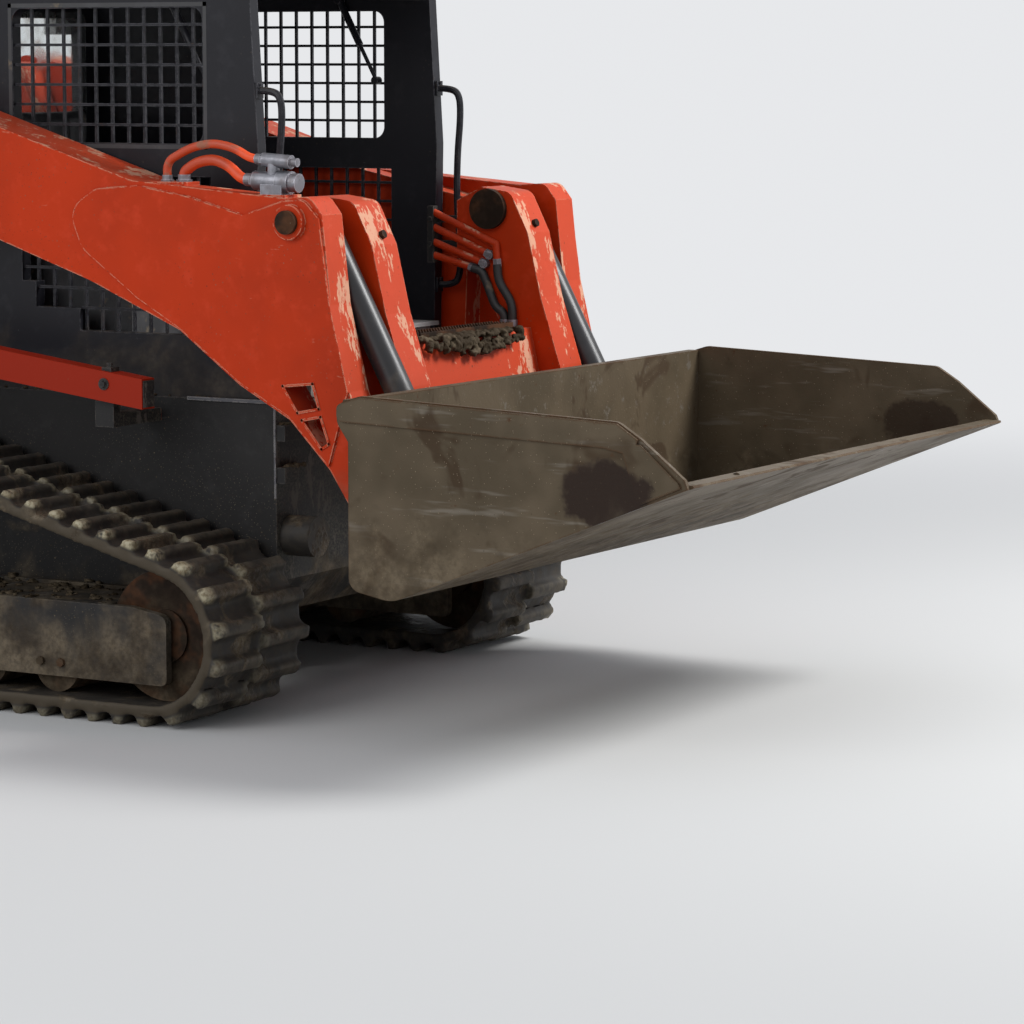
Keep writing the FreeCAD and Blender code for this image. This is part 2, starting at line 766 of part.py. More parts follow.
def bent_tube(name, radius, path, y):
    """A tube along straight runs in the plane of height y, with a ball at each bend."""
    pieces = [rod_between(name + "_run", radius, path[i], path[i + 1], y)
              for i in range(len(path) - 1)]
    for x, z in path[1:-1]:
        ball = document.addObject("Part::Sphere", name + "_bend")
        bind(ball, "Radius", radius)
        place(ball, x, y, z)
        pieces.append(ball)
    return fuse(name, pieces)


def make_cab_fittings():
    handles = []
    struts = []
    lamps = []
    for word, side in SIDES:
        handles.append(bent_tube("grab_handle", d.handle_radius, HANDLE_PATH,
                                 side * (d.cab_half - 17)))
        inside = side * (d.cab_half - d.cab_wall - 13)
        tube = rod_between("strut_tube", 11, STRUT[0], (-48, 1876), inside)
        rod = rod_between("strut_rod", 6, STRUT[0], STRUT[1], inside)
        feet = [rod_y("strut_foot", 12, x, z, across(side, d.cab_half - d.cab_wall - 26,
                                                     d.cab_half - d.cab_wall))
                for x, z in STRUT]
        struts.append(fuse("window_strut", [tube, rod] + feet))
        lamps.append(block("front_lamp", (160.0, 205.0), across(side, 300, 420),
                           (roof_under - 72, roof_under - 5)))
        lamps.append(block("rear_lamp", (d.cab_rear - 45, d.cab_rear), across(side, 300, 400),
                           (roof_under - 175, roof_under - 105)))
    node("grab_handles", together("grab_handles_set", handles))
    node("window_struts", together("window_struts_set", struts))
    node("work_lamps", together("work_lamps_set", lamps))
    glass = plate("rear_glass", "x", (d.cab_rear + 40, d.cab_rear + 40 + d.glass_thick),
                  rectangle((-400.0, 400.0), (roof_under - 465, roof_under - 105), 30))
    node("rear_glass", glass)


def make_cab_inside():
    node("seat_base", block("seat_base", (-962.0, -420.0), (-240.0, 240.0),
                            (d.tub_top + 12, 1080.0)))
    node("seat_cushion", plate("seat_cushion", "z", (1080.3, 1180.0),
                               rectangle((-880.0, -400.0), (-240.0, 240.0), 60)))
    node("seat_back", plate("seat_back", "x", (-960.0, -885.0),
                            rectangle((-235.0, 235.0), (1080.3, 1700.0), 70)))
    consoles = []
    for word, side in SIDES:
        pod = block("console", (-720.0, -300.0), across(side, 260, 400),
                    (d.tub_top + 12, 1260.0))
        stick = document.addObject("Part::Cylinder", "stick")
        stick.Radius = 14
        stick.Height = 180
        place(stick, -360, side * 330, 1250)
        consoles.append(fuse("console", [pod, stick]))
    node("consoles", together("consoles_set", consoles))


def make_lap_bar():
    pieces = []
    for word, side in SIDES:
        pieces.append(rod_between("lap_bar_arm", 16, (-985.0, 1450.0), (-420.0, 1400.0),
                                  side * 262))
    pieces.append(rod_y("lap_bar_cross", 17, -420, 1400, (-280.0, 280.0)))
    axle_half = d.cab_half - d.cab_wall - 0.3
    pieces.append(rod_y("lap_bar_axle", 20, -985, 1450, (-axle_half, axle_half)))
    node("lap_bar", fuse("lap_bar", pieces))


# Lift arms

ARM_REAR = [
    # x, z, corner radius: the main beam back to the pivot
    (300, 1413),
    (-84, 1495),
    (-800, 1721),
    (-1380, 1850, 90),
    (-1520, 1790, 100),
    (-1520, 1640, 60),
    (-1000, 1468),
    (-545, 1316),
    (-228, 1210),
    (81, 1079),
    (282, 933),
]
KNEE = [
    # x, z, corner radius: the outer leg from the beam down to the bucket hinge
    (282, 933),
    (447, 844),
    (577, 712),
    (704, 520),
    (738, 500),
    (776, 518),
    (784, 548),
    (640, 930),
    (583, 1165),
    (556, 1410),
    (517, 1460, 40),
    (430, 1454),
    (300, 1413),
]
INNER_LEG = [
    (345, 1413),
    (430, 1454),
    (530, 1440, 40),
    (590, 1320),
    (635, 1130),
    (700, 930),
    (784, 548),
    (776, 518),
    (738, 500),
    (704, 520),
    (600, 760),
    (520, 1000),
    (420, 1200),
    (345, 1240),
]
LEG_WINDOWS = [
    [(430, 938, 8), (528, 948, 8), (548, 880, 8), (478, 866, 8)],
    [(492, 846, 8), (553, 858, 8), (580, 785, 8), (556, 770, 8)],
]


GUSSET = [
    # x, z, corner radius: the doubling plate round the knee
    (300, 1405),
    (120, 1452, 90),
    (-50, 1480, 90),
    (-200, 1470, 60),
    (-295, 1410, 60),
    (-250, 1300, 80),
    (-60, 1165),
    (81, 1086),
    (282, 942),
    (447, 853),
    (577, 722),
    (640, 930),
    (583, 1165),
    (549, 1400),
    (500, 1452, 40),
    (430, 1446),
]


def coupler_seat(side):
    """The brackets on the right arm that carry the auxiliary couplers and their hoses."""
    if side == LEFT:
        return []
    hose_seat = block("hose_bracket", (-20.0, 90.0), across(side, d.arm_outer - 90, d.arm_outer - 10),
                      (1430.0, HOSE_FOOT))
    return [hose_seat, block("coupler_bracket", (330.0, 430.0), across(side, d.arm_outer - 90, d.arm_outer - 10),
                  (1400.0, 1462.0))]


def ear_faces(middle):
    """Inner faces of the two ears that stand either side of a rod's eye."""
    gap = d.eye_wide / 2 + d.ear_gap
    return (middle - gap - d.ear_thick, middle + gap)


def pin_heads(name, x, z, side, middle):
    """The heads of a rod's pin outside its ears; the eye keeps clear room between them."""
    low, high = ear_faces(middle)
    return [rod_y(name, d.rod_eye_radius, x, z, across(side, low - 8, low + d.ear_thick)),
            rod_y(name, d.rod_eye_radius, x, z, across(side, high, high + d.ear_thick + 8))]


def make_arms():
    for word, side in SIDES:
        name = "boom_" + word
        outer_span = across(side, d.arm_split, d.arm_outer)
        outline = ARM_REAR[1:-1] + KNEE[:-1]
        beam = plate(name + "_outer", "y", outer_span, outline, LEG_WINDOWS,
                     [(d.pivot_x, d.pivot_z, d.pivot_pin + d.pin_fit)])
        back = plate(name + "_inner", "y", across(side, d.arm_inner, d.arm_split), ARM_REAR,
                     (), [(d.pivot_x, d.pivot_z, d.pivot_pin + d.pin_fit)])
        leg = plate(name + "_leg", "y", across(side, d.leg_inner, d.leg_outer), INNER_LEG)
        web = block(name + "_web", (345.0, 385.0), across(side, d.leg_inner, d.arm_split + 10),
                    (1245.0, 1405.0))
        bosses = [rod_y(name + "_hinge_boss", 48, d.hinge_x, d.hinge_z, across(side, *reach))
                  for reach in ((d.leg_inner, d.leg_outer), (d.arm_split, d.arm_outer))]
        knee_pin = rod_y(name + "_knee_pin", d.pin_radius, d.knee_pin_x, d.knee_pin_z,
                         across(side, d.leg_outer - 5, d.arm_outer))
        gusset = plate(name + "_gusset", "y",
                       across(side, d.arm_outer, d.arm_outer + d.gusset_thick),
                       GUSSET, LEG_WINDOWS)
        collar = rod_y(name + "_knee_collar", 48, d.knee_pin_x, d.knee_pin_z,
                       across(side, d.arm_outer, d.arm_outer + 24))
        hinge_pin = rod_y(name + "_hinge_pin", d.hinge_pin, d.hinge_x, d.hinge_z,
                          across(side, d.leg_outer - 5, d.arm_split + 5))
        ears = []
        for inner in ear_faces(d.lift_y):
            ears.append(plate(name + "_ear", "y", across(side, inner, inner + d.ear_thick),
                              [(-950, 1500), (-910, 1340, 30), (-790, 1325, 30), (-740, 1400)]))
        lift_heads = pin_heads(name + "_lift_head", d.lift_pin_x, d.lift_pin_z, side, d.lift_y)
        node(name, fuse(name, [beam, back, leg, web, knee_pin, gusset, collar,
                               hinge_pin] + bosses + ears + lift_heads + coupler_seat(side)))


def make_boom_cross():
    outline = [(505, 1040), (490, 800), (600, 790), (640, 860), (600, 1040)]
    cross = plate("boom_cross", "y", (-d.leg_inner, d.leg_inner), outline)
    node("boom_cross", cross)
    node("step_tread", block("step_tread", (530.0, 600.0), (-260.0, 260.0), (1040.0, 1052.0)))


TUBES = [
    # start x, start z, end x, end z, and how far the end turns down
    (262, 1380, 486, 1285, 60),
    (262, 1335, 468, 1252, 0),
    (262, 1290, 450, 1225, 0),
    (262, 1250, 408, 1212, 0),
]


HOSE_FOOT = 1492.0
CROSS_TOP = 1040.0
COUPLER_HOSES = [
    # radius, then the route's points x, z from the coupler to the bracket on the arm
    (15, [(305, 1500), (262, 1501.8), (215, 1540), (165, 1556), (110, 1547), (66, 1520),
          (66, HOSE_FOOT)]),
    (12, [(335, 1557), (290, 1560), (235, 1588), (165, 1601), (90, 1588), (8, 1548),
          (8, HOSE_FOOT)]),
]
ARM_HOSES = [
    # radius, then the route's points x, z from the end of a tube to the cross member
    (13, [(492, 1225), (497, 1175), (545, 1110), (545, CROSS_TOP)]),
    (13, [(408, 1212), (440, 1203.7), (465, 1150), (485, 1100), (518, 1080), (518, CROSS_TOP)]),
]


def bent_hose(name, radius, route, y):
    """A hose in the plane of height y: straight runs joined by arcs tangent to both."""
    points = [Vector(x, 0, z) for x, z in route]
    pieces = []
    start = points[0]
    for before, corner, after in zip(points, points[1:], points[2:]):
        back = (before - corner).normalize()
        on = (after - corner).normalize()
        turn = math.pi - back.getAngle(on)
        reach = 0.45 * min((before - corner).Length, (after - corner).Length)
        bend = reach / math.tan(turn / 2)
        first, last = corner + back * reach, corner + on * reach
        centre = corner + (back + on).normalize() * (bend / math.cos(turn / 2))
        pieces.append(rod_between(name + "_run", radius, (start.x, start.z), (first.x, first.z), y))
        arc = document.addObject("Part::Torus", name + "_arc")
        arc.Radius1 = bend
        bind(arc, "Radius2", radius)
        arc.Angle3 = math.degrees(turn)
        outward = (first - centre).normalize()
        side_way = (last - centre) - outward * (last - centre).dot(outward)
        axis = outward.cross(side_way).normalize()
        arc.Placement = Placement(Vector(), Rotation(outward, side_way, axis, "XZY"))
        place(arc, centre.x, y, centre.z)
        pieces.append(arc)
        start = last
    pieces.append(rod_between(name + "_run", radius, (start.x, start.z), route[-1], y))
    return fuse(name, pieces)


def make_boom_hoses():
    middle = -(d.arm_outer - 50)
    orange = [bent_hose("coupler_hose", radius, route, middle)
              for radius, route in COUPLER_HOSES]
    node("coupler_hoses", together("coupler_hoses_set", orange))
    black = [bent_hose("arm_hose", radius, route, side * (d.leg_inner - 13.3))
             for word, side in SIDES for radius, route in ARM_HOSES]
    node("arm_hoses", together("arm_hoses_set", black))


def make_boom_fittings():
    middle = -(d.arm_outer - 50)
    block_low = block("coupler_block", (340.0, 410.0), (middle - 30, middle + 30),
                      (1462.0, 1490.0))
    low = rod_between("coupler_low", 26, (305, 1500), (450, 1494), middle)
    low_ring = rod_between("coupler_low_ring", 31, (385, 1497), (425, 1495), middle)
    post = upright("coupler_post", 17, 365.0, middle, (1490.0, 1550.0))
    high = rod_between("coupler_high", 19, (335, 1557), (425, 1551), middle)
    tip = rod_between("coupler_tip", 12, (425, 1551), (445, 1550), middle)
    node("aux_couplers", fuse("aux_couplers", [block_low, low, low_ring, post, high, tip]))
    tubes = []
    for word, side in SIDES:
        y = side * (d.leg_inner - 11.3)
        for start_x, start_z, end_x, end_z, drop in TUBES:
            path = [(start_x, start_z), (end_x, end_z)]
            if drop:
                path.append((end_x + 6, end_z - drop))
            tubes.append(bent_tube("boom_tube", 11, path, y))
    node("boom_tubes", together("boom_tubes_set", tubes))
    knee_caps, pivot_caps = [], []
    for word, side in SIDES:
        knee_caps.append(rod_y("knee_cap", 33, d.knee_pin_x, d.knee_pin_z,
                               across(side, d.arm_outer + 24, d.arm_outer + 38)))
        knee_caps.append(rod_y("knee_disc", 60, d.knee_pin_x, d.knee_pin_z,
                               across(side, d.leg_inner - 18, d.leg_inner)))
        pivot_caps.append(rod_y("pivot_cap", 52, d.pivot_x, d.pivot_z,
                                across(side, d.arm_outer + 12, d.arm_outer + 20)))
    node("pin_caps", together("pin_caps_set", knee_caps))
    node("pivot_caps", together("pivot_caps_set", pivot_caps))


# Bucket and coupler

rest_tilt = math.radians(float(d.tilt_angle))
tilt_pin_x = d.hinge_x + d.tilt_arm * math.cos(rest_tilt)
tilt_pin_z = d.hinge_z + d.tilt_arm * math.sin(rest_tilt)


def make_coupler():
    half = d.coupler_half
    eye_room = [rectangle(across(side, d.tilt_y - d.eye_wide / 2, d.tilt_y + d.eye_wide / 2),
                          (640.0, 850.0), 10) for word, side in SIDES]
    plate_back = plate("coupler_plate", "x", (d.bucket_back - d.coupler_thick, d.bucket_back),
                       rectangle((-half, half), (480.0, 900.0), 10), eye_room)
    pieces = [plate_back]
    for word, side in SIDES:
        for inner in ear_faces(d.tilt_y):
            outline = [(d.bucket_back - 10, 495), (d.bucket_back - 10, 880),
                       (tilt_pin_x - 20, tilt_pin_z + 36, 25),
                       (tilt_pin_x - 42, tilt_pin_z - 20, 20),
                       (d.hinge_x - 42, d.hinge_z + 20, 20), (d.hinge_x - 30, d.hinge_z - 36, 25)]
            pieces.append(plate("coupler_ear", "y", across(side, inner, inner + d.ear_thick),
                                outline, (), [(d.hinge_x, d.hinge_z, d.hinge_pin + d.pin_fit)]))
        pieces += pin_heads("coupler_head", tilt_pin_x, tilt_pin_z, side, d.tilt_y)
    node("coupler", fuse("coupler", pieces))


floor_slope = math.atan2(float(d.bucket_tip_z - d.heel_z), float(d.bucket_tip_x - d.heel_x))


def floor_offset(x, z, lift):
    """A point on the floor plane's inner side, lift above it."""
    return (x - lift * math.sin(floor_slope), z + lift * math.cos(floor_slope))


BUCKET_GUARD = [(1650, 868, 12), (1708, 868, 12), (1815, 776, 8), (1822, 763), (1700, 712, 12)]


def make_bucket():
    inside = d.bucket_half - d.strip_thick - d.cheek_plate
    span = (-inside, inside)
    skin = d.bucket_plate
    edge_start = (d.bucket_tip_x - d.edge_deep * math.cos(floor_slope),
                  d.bucket_tip_z - d.edge_deep * math.sin(floor_slope))
    front_low = floor_offset(*edge_start, as_size(0))
    front_high = floor_offset(*edge_start, skin)
    outline = [
        (d.bucket_back, d.bucket_top), (d.bucket_back, d.heel_z + 20, 70),
        (d.heel_x, d.heel_z, 120), front_low, front_high,
        (d.heel_x, d.heel_z + skin * 1.08, 108), (d.bucket_back + skin, d.heel_z + 20 + skin, 58),
        (d.bucket_back + skin, d.bucket_top),
    ]
    shell = plate("bucket_skin", "y", span, outline)
    back_bar = block("bucket_back_bar", (d.bucket_back - 22, d.bucket_back + 4), span,
                     (d.bucket_top - 32, d.bucket_top))
    ribs = [block("bucket_rib", (d.bucket_back - 24, d.bucket_back + 4),
                  across(side, d.coupler_half + 40, d.coupler_half + 52),
                  (480.0, d.bucket_top - 30)) for word, side in SIDES]
    node("bucket_shell", fuse("bucket_shell", [shell, back_bar] + ribs))
    cheek = [
        (d.bucket_back + 2, d.heel_z + 25, 40), (d.heel_x, d.heel_z, 100),
        (d.bucket_tip_x - 10, d.bucket_tip_z - 4), (d.bucket_tip_x - 20, d.bucket_tip_z + 20),
        (1708, 880, 30), (1640, 922, 40), (d.bucket_back + 40, d.bucket_top + 13, 38),
        (d.bucket_back - 33, d.bucket_top - 10, 35), (d.bucket_back - 33, d.bucket_top - 60, 35),
        (d.bucket_back + 2, d.bucket_top - 110),
    ]
    strip = [
        (d.bucket_back - 29, d.bucket_top - 56, 18), (d.bucket_back - 29, d.bucket_top - 12, 18),
        (d.bucket_back + 40, d.bucket_top + 9), (1640, 918), (1700, 880), (1690, 838),
        (1600, 855),
    ]
    cheeks = []
    for word, side in SIDES:
        cheeks.append(fuse("bucket_cheek_stripped", [
            plate("bucket_cheek", "y", across(side, inside, d.bucket_half - d.strip_thick), cheek),
            plate("bucket_strip", "y", across(side, d.bucket_half - d.strip_thick, d.bucket_half),
                  strip),
            plate("bucket_guard", "y", across(side, d.bucket_half - d.strip_thick, d.bucket_half),
                  BUCKET_GUARD)]))
    node("bucket_cheeks", together("bucket_cheeks_set", cheeks))
    tip = (d.bucket_tip_x, d.bucket_tip_z)
    edge = [edge_start, tip, floor_offset(*tip, as_size(6)),
            floor_offset(d.bucket_tip_x - 40 * math.cos(floor_slope),
                         d.bucket_tip_z - 40 * math.sin(floor_slope), d.edge_plate),
            floor_offset(*edge_start, d.edge_plate)]
    node("cutting_edge", plate("cutting_edge", "y", span, edge))


# Hydraulic cylinders

def barrel(name, base, end, y, radius, length, rod_radius):
    """A barrel from its base eye towards its end, bored for the rod."""
    run = Vector(float(end[0]) - float(base[0]), 0, float(end[1]) - float(base[1]))
    run.normalize()
    tube_end = (base[0] + length * run.x, base[1] + length * run.z)
    bore_start = (base[0] + 34 * run.x, base[1] + 34 * run.z)
    past_end = (base[0] + (length + 5) * run.x, base[1] + (length + 5) * run.z)
    eye_wide = d.eye_wide / 2
    tube_start = (base[0] + 25 * run.x, base[1] + 25 * run.z)
    tube = rod_between(name + "_tube", radius, tube_start, tube_end, y)
    bore = rod_between(name + "_bore", rod_radius + d.pin_fit, bore_start, past_end, y)
    eye = rod_y(name + "_eye", d.eye_radius, base[0], base[1], (y - eye_wide, y + eye_wide))
    hole = rod_y(name + "_hole", d.pin_radius + d.pin_fit, base[0], base[1],
                 (y - radius * 2, y + radius * 2))
    return cut(name, fuse(name + "_solid", [tube, eye]), fuse(name + "_holes", [bore, hole]))


def piston_rod(name, base, end, y, radius, length):
    """A rod and its eye, with the eye's own pin in it."""
    run = Vector(float(end[0]) - float(base[0]), 0, float(end[1]) - float(base[1]))
    run.normalize()
    start = (end[0] - length * run.x, end[1] - length * run.z)
    stop = (end[0] - 30 * run.x, end[1] - 30 * run.z)
    eye_wide = d.eye_wide / 2
    shaft = rod_between(name + "_shaft", radius, start, stop, y)
    eye = rod_y(name + "_eye", d.rod_eye_radius, end[0], end[1], (y - eye_wide, y + eye_wide))
    return fuse(name, [shaft, eye])


def make_cylinders():
    lift_base = (d.lift_base_x, d.lift_base_z)
    lift_pin = (d.lift_pin_x, d.lift_pin_z)
    knee = (d.knee_pin_x, d.knee_pin_z)
    tilt_pin = (tilt_pin_x, tilt_pin_z)
    sets = {"lift_barrels": [], "lift_rods": [], "tilt_barrels": [], "tilt_rods": []}
    for word, side in SIDES:
        sets["lift_barrels"].append(barrel("lift_barrel", lift_base, lift_pin, side * d.lift_y,
                                           d.lift_barrel_radius, d.lift_barrel_length,
                                           d.lift_rod_radius))
        sets["lift_rods"].append(piston_rod("lift_rod", lift_base, lift_pin, side * d.lift_y,
                                            d.lift_rod_radius, d.lift_rod_length))
        sets["tilt_barrels"].append(barrel("tilt_barrel", knee, tilt_pin, side * d.tilt_y,
                                           d.tilt_barrel_radius, d.tilt_barrel_length,
                                           d.tilt_rod_radius))
        sets["tilt_rods"].append(piston_rod("tilt_rod", knee, tilt_pin, side * d.tilt_y,
                                            d.tilt_rod_radius, d.tilt_rod_length))
    for name, items in sets.items():
        node(name, together(name + "_set", items))


# Rear door and hood

def make_rear_door():
    door = plate("rear_door_panel", "x", (d.tub_rear - 5 - d.door_thick, d.tub_rear - 5),
                 rectangle((-d.door_half, d.door_half),
                           (d.tub_bottom + 110 + d.bumper_tall + d.seam, d.door_top), 40))
    knuckles = []
    hinges = []
    pin_x = d.tub_rear - 5 - d.door_thick - 10
    pin_y = d.door_half + 22
    for low in (600.0, 1120.0):
        knuckles.append(upright("door_knuckle", 14, pin_x, pin_y, (low, low + 60)))
        knuckles.append(block("door_strap", (pin_x - 6, pin_x + 10), (pin_y - 80, pin_y),
                              (low, low + 60)))
        foot = block("hinge_foot", (pin_x - 14, d.tub_rear), (pin_y - 14, pin_y + 36),
                     (low - 16, low - 0.4))
        pin = upright("hinge_pin", 6.9, pin_x, pin_y, (low - 5, low + 55))
        hinges.append(fuse("door_hinge", [foot, pin]))
    bores = [upright("door_bore", 7, pin_x, pin_y, (low - 5, low + 65))
             for low in (600.0, 1120.0)]
    face = d.tub_rear - 5 - d.door_thick
    louvres = [block("door_louvre", (face - 12, face), (-(d.door_half - 78), d.door_half - 138),
                     (700 + 62.0 * i, 724 + 62.0 * i))
               for i in range(int(float(d.louvre_count)))]
    latch = block("door_latch", (face - 20, face), (-(d.door_half - 28), -(d.door_half - 56)),
                  (880.0, 1000.0))
    leaf = fuse("door_leaf", [door, latch] + knuckles + louvres)
    node("rear_door", cut("rear_door_bored", leaf, fuse("door_bores", bores)))
    node("door_hinges", together("door_hinges_set", hinges))


def make_hood():
    half = d.tower_inner - d.seam
    front = d.cab_rear - 10
    outline = [(front, d.hood_top), (front, d.hood_top - d.hood_thick),
               (d.tub_rear + 180, d.hood_top - d.hood_thick - 30),
               (d.tub_rear + 20, d.door_top + 20), (d.tub_rear - 20, d.door_top + 20),
               (d.tub_rear - 20, d.door_top + 70, 60), (d.tub_rear + 170, d.hood_top, 120)]
    cover = plate("hood_cover", "y", (-half, half), outline)
    pin_x = d.cab_rear - 24
    pin_z = d.hood_top + 13
    knuckles = []
    bores = []
    hinges = []
    for word, side in SIDES:
        knuckles.append(rod_y("hood_knuckle", 14, pin_x, pin_z, across(side, 231, 270)))
        bores.append(rod_y("hood_bore", 7, pin_x, pin_z, across(side, 220, 280)))
        ear = block("hood_ear", (pin_x - 8, d.cab_rear), across(side, 214, 230.6),
                    (pin_z - 7, pin_z + 8))
        pin = rod_y("hood_pin", 6.9, pin_x, pin_z, across(side, 225, 266))
        hinges.append(fuse("hood_hinge", [ear, pin]))
    vents = [block("hood_vent", (x, x + 24.0), (-250.0, 130.0), (d.hood_top - 5, d.hood_top + 10))
             for x in (-1300.0, -1350.0, -1400.0, -1450.0)]
    exhaust = upright("exhaust_stub", 38, -1440.0, 230.0, (d.hood_top - 20, d.hood_top + 55))
    leaf = fuse("hood_leaf", [cover, exhaust] + knuckles + vents)
    node("engine_hood", cut("hood_bored", leaf, fuse("hood_bores", bores)))
    node("hood_hinges", together("hood_hinges_set", hinges))


def make_all():
    make_tub()
    make_towers()
    make_engine()
    make_bumper()
    make_side_rails()
    make_front_fittings()
    make_track_frames()
    make_tracks()
    make_rollers()
    make_sprockets()
    make_cab()
    make_screens()
    make_cab_fittings()
    make_cab_inside()
    make_lap_bar()
    make_arms()
    make_boom_cross()
    make_boom_fittings()
    make_boom_hoses()
    make_coupler()
    make_bucket()
    make_cylinders()
    make_rear_door()
    make_hood()


def check_and_write():
    document.recompute()
    faults = [item.Label for item in document.Objects
              if "Invalid" in item.State or "Error" in item.State]
    for item in nodes:
        if item.Shape.isNull() or not item.Shape.isValid():
            faults.append(item.Label + " shape")
    if faults:
        raise RuntimeError("failed: " + ", ".join(faults))
    os.makedirs("parts", exist_ok=True)
    for item in nodes:
        item.Shape.exportStep(f"parts/{item.Label}.step")
        solids = len(item.Shape.Solids)
        print(f"{item.Label}: {solids} solids, {item.Shape.Volume / 1e9:.4f} m3")


make_all()
check_and_write()
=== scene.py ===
"""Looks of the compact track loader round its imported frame. Metres, +X forward, +Z up."""

import json
import math
import random

import bmesh
import bpy
import numpy as np
from mathutils import Matrix, Vector
from mathutils.bvhtree import BVHTree


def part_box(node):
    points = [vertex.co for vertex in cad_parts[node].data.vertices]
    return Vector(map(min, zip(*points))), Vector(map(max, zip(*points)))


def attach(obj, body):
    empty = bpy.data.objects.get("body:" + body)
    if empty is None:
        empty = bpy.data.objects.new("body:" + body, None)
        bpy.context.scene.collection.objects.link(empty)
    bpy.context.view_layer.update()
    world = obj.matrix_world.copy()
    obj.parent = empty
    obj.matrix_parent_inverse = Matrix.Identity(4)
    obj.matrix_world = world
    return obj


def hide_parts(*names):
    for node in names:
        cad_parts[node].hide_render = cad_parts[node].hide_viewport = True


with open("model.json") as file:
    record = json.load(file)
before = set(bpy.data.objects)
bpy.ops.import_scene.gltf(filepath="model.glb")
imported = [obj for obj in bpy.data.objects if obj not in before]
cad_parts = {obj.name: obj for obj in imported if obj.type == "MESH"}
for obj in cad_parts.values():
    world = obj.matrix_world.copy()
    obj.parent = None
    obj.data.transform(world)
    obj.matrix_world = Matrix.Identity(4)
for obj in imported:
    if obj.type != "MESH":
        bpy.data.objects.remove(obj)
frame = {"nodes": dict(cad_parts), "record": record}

scene = bpy.context.scene
nodes = frame["nodes"]
SIDES = (("left", 1), ("right", -1))
SIGNS = tuple(sign for _, sign in SIDES)


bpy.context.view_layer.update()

# Materials


# cosine between the rounded and the flat normal: where wear along an edge starts and is full
EDGE_FLAT = 0.995
EDGE_SHARP = 0.88


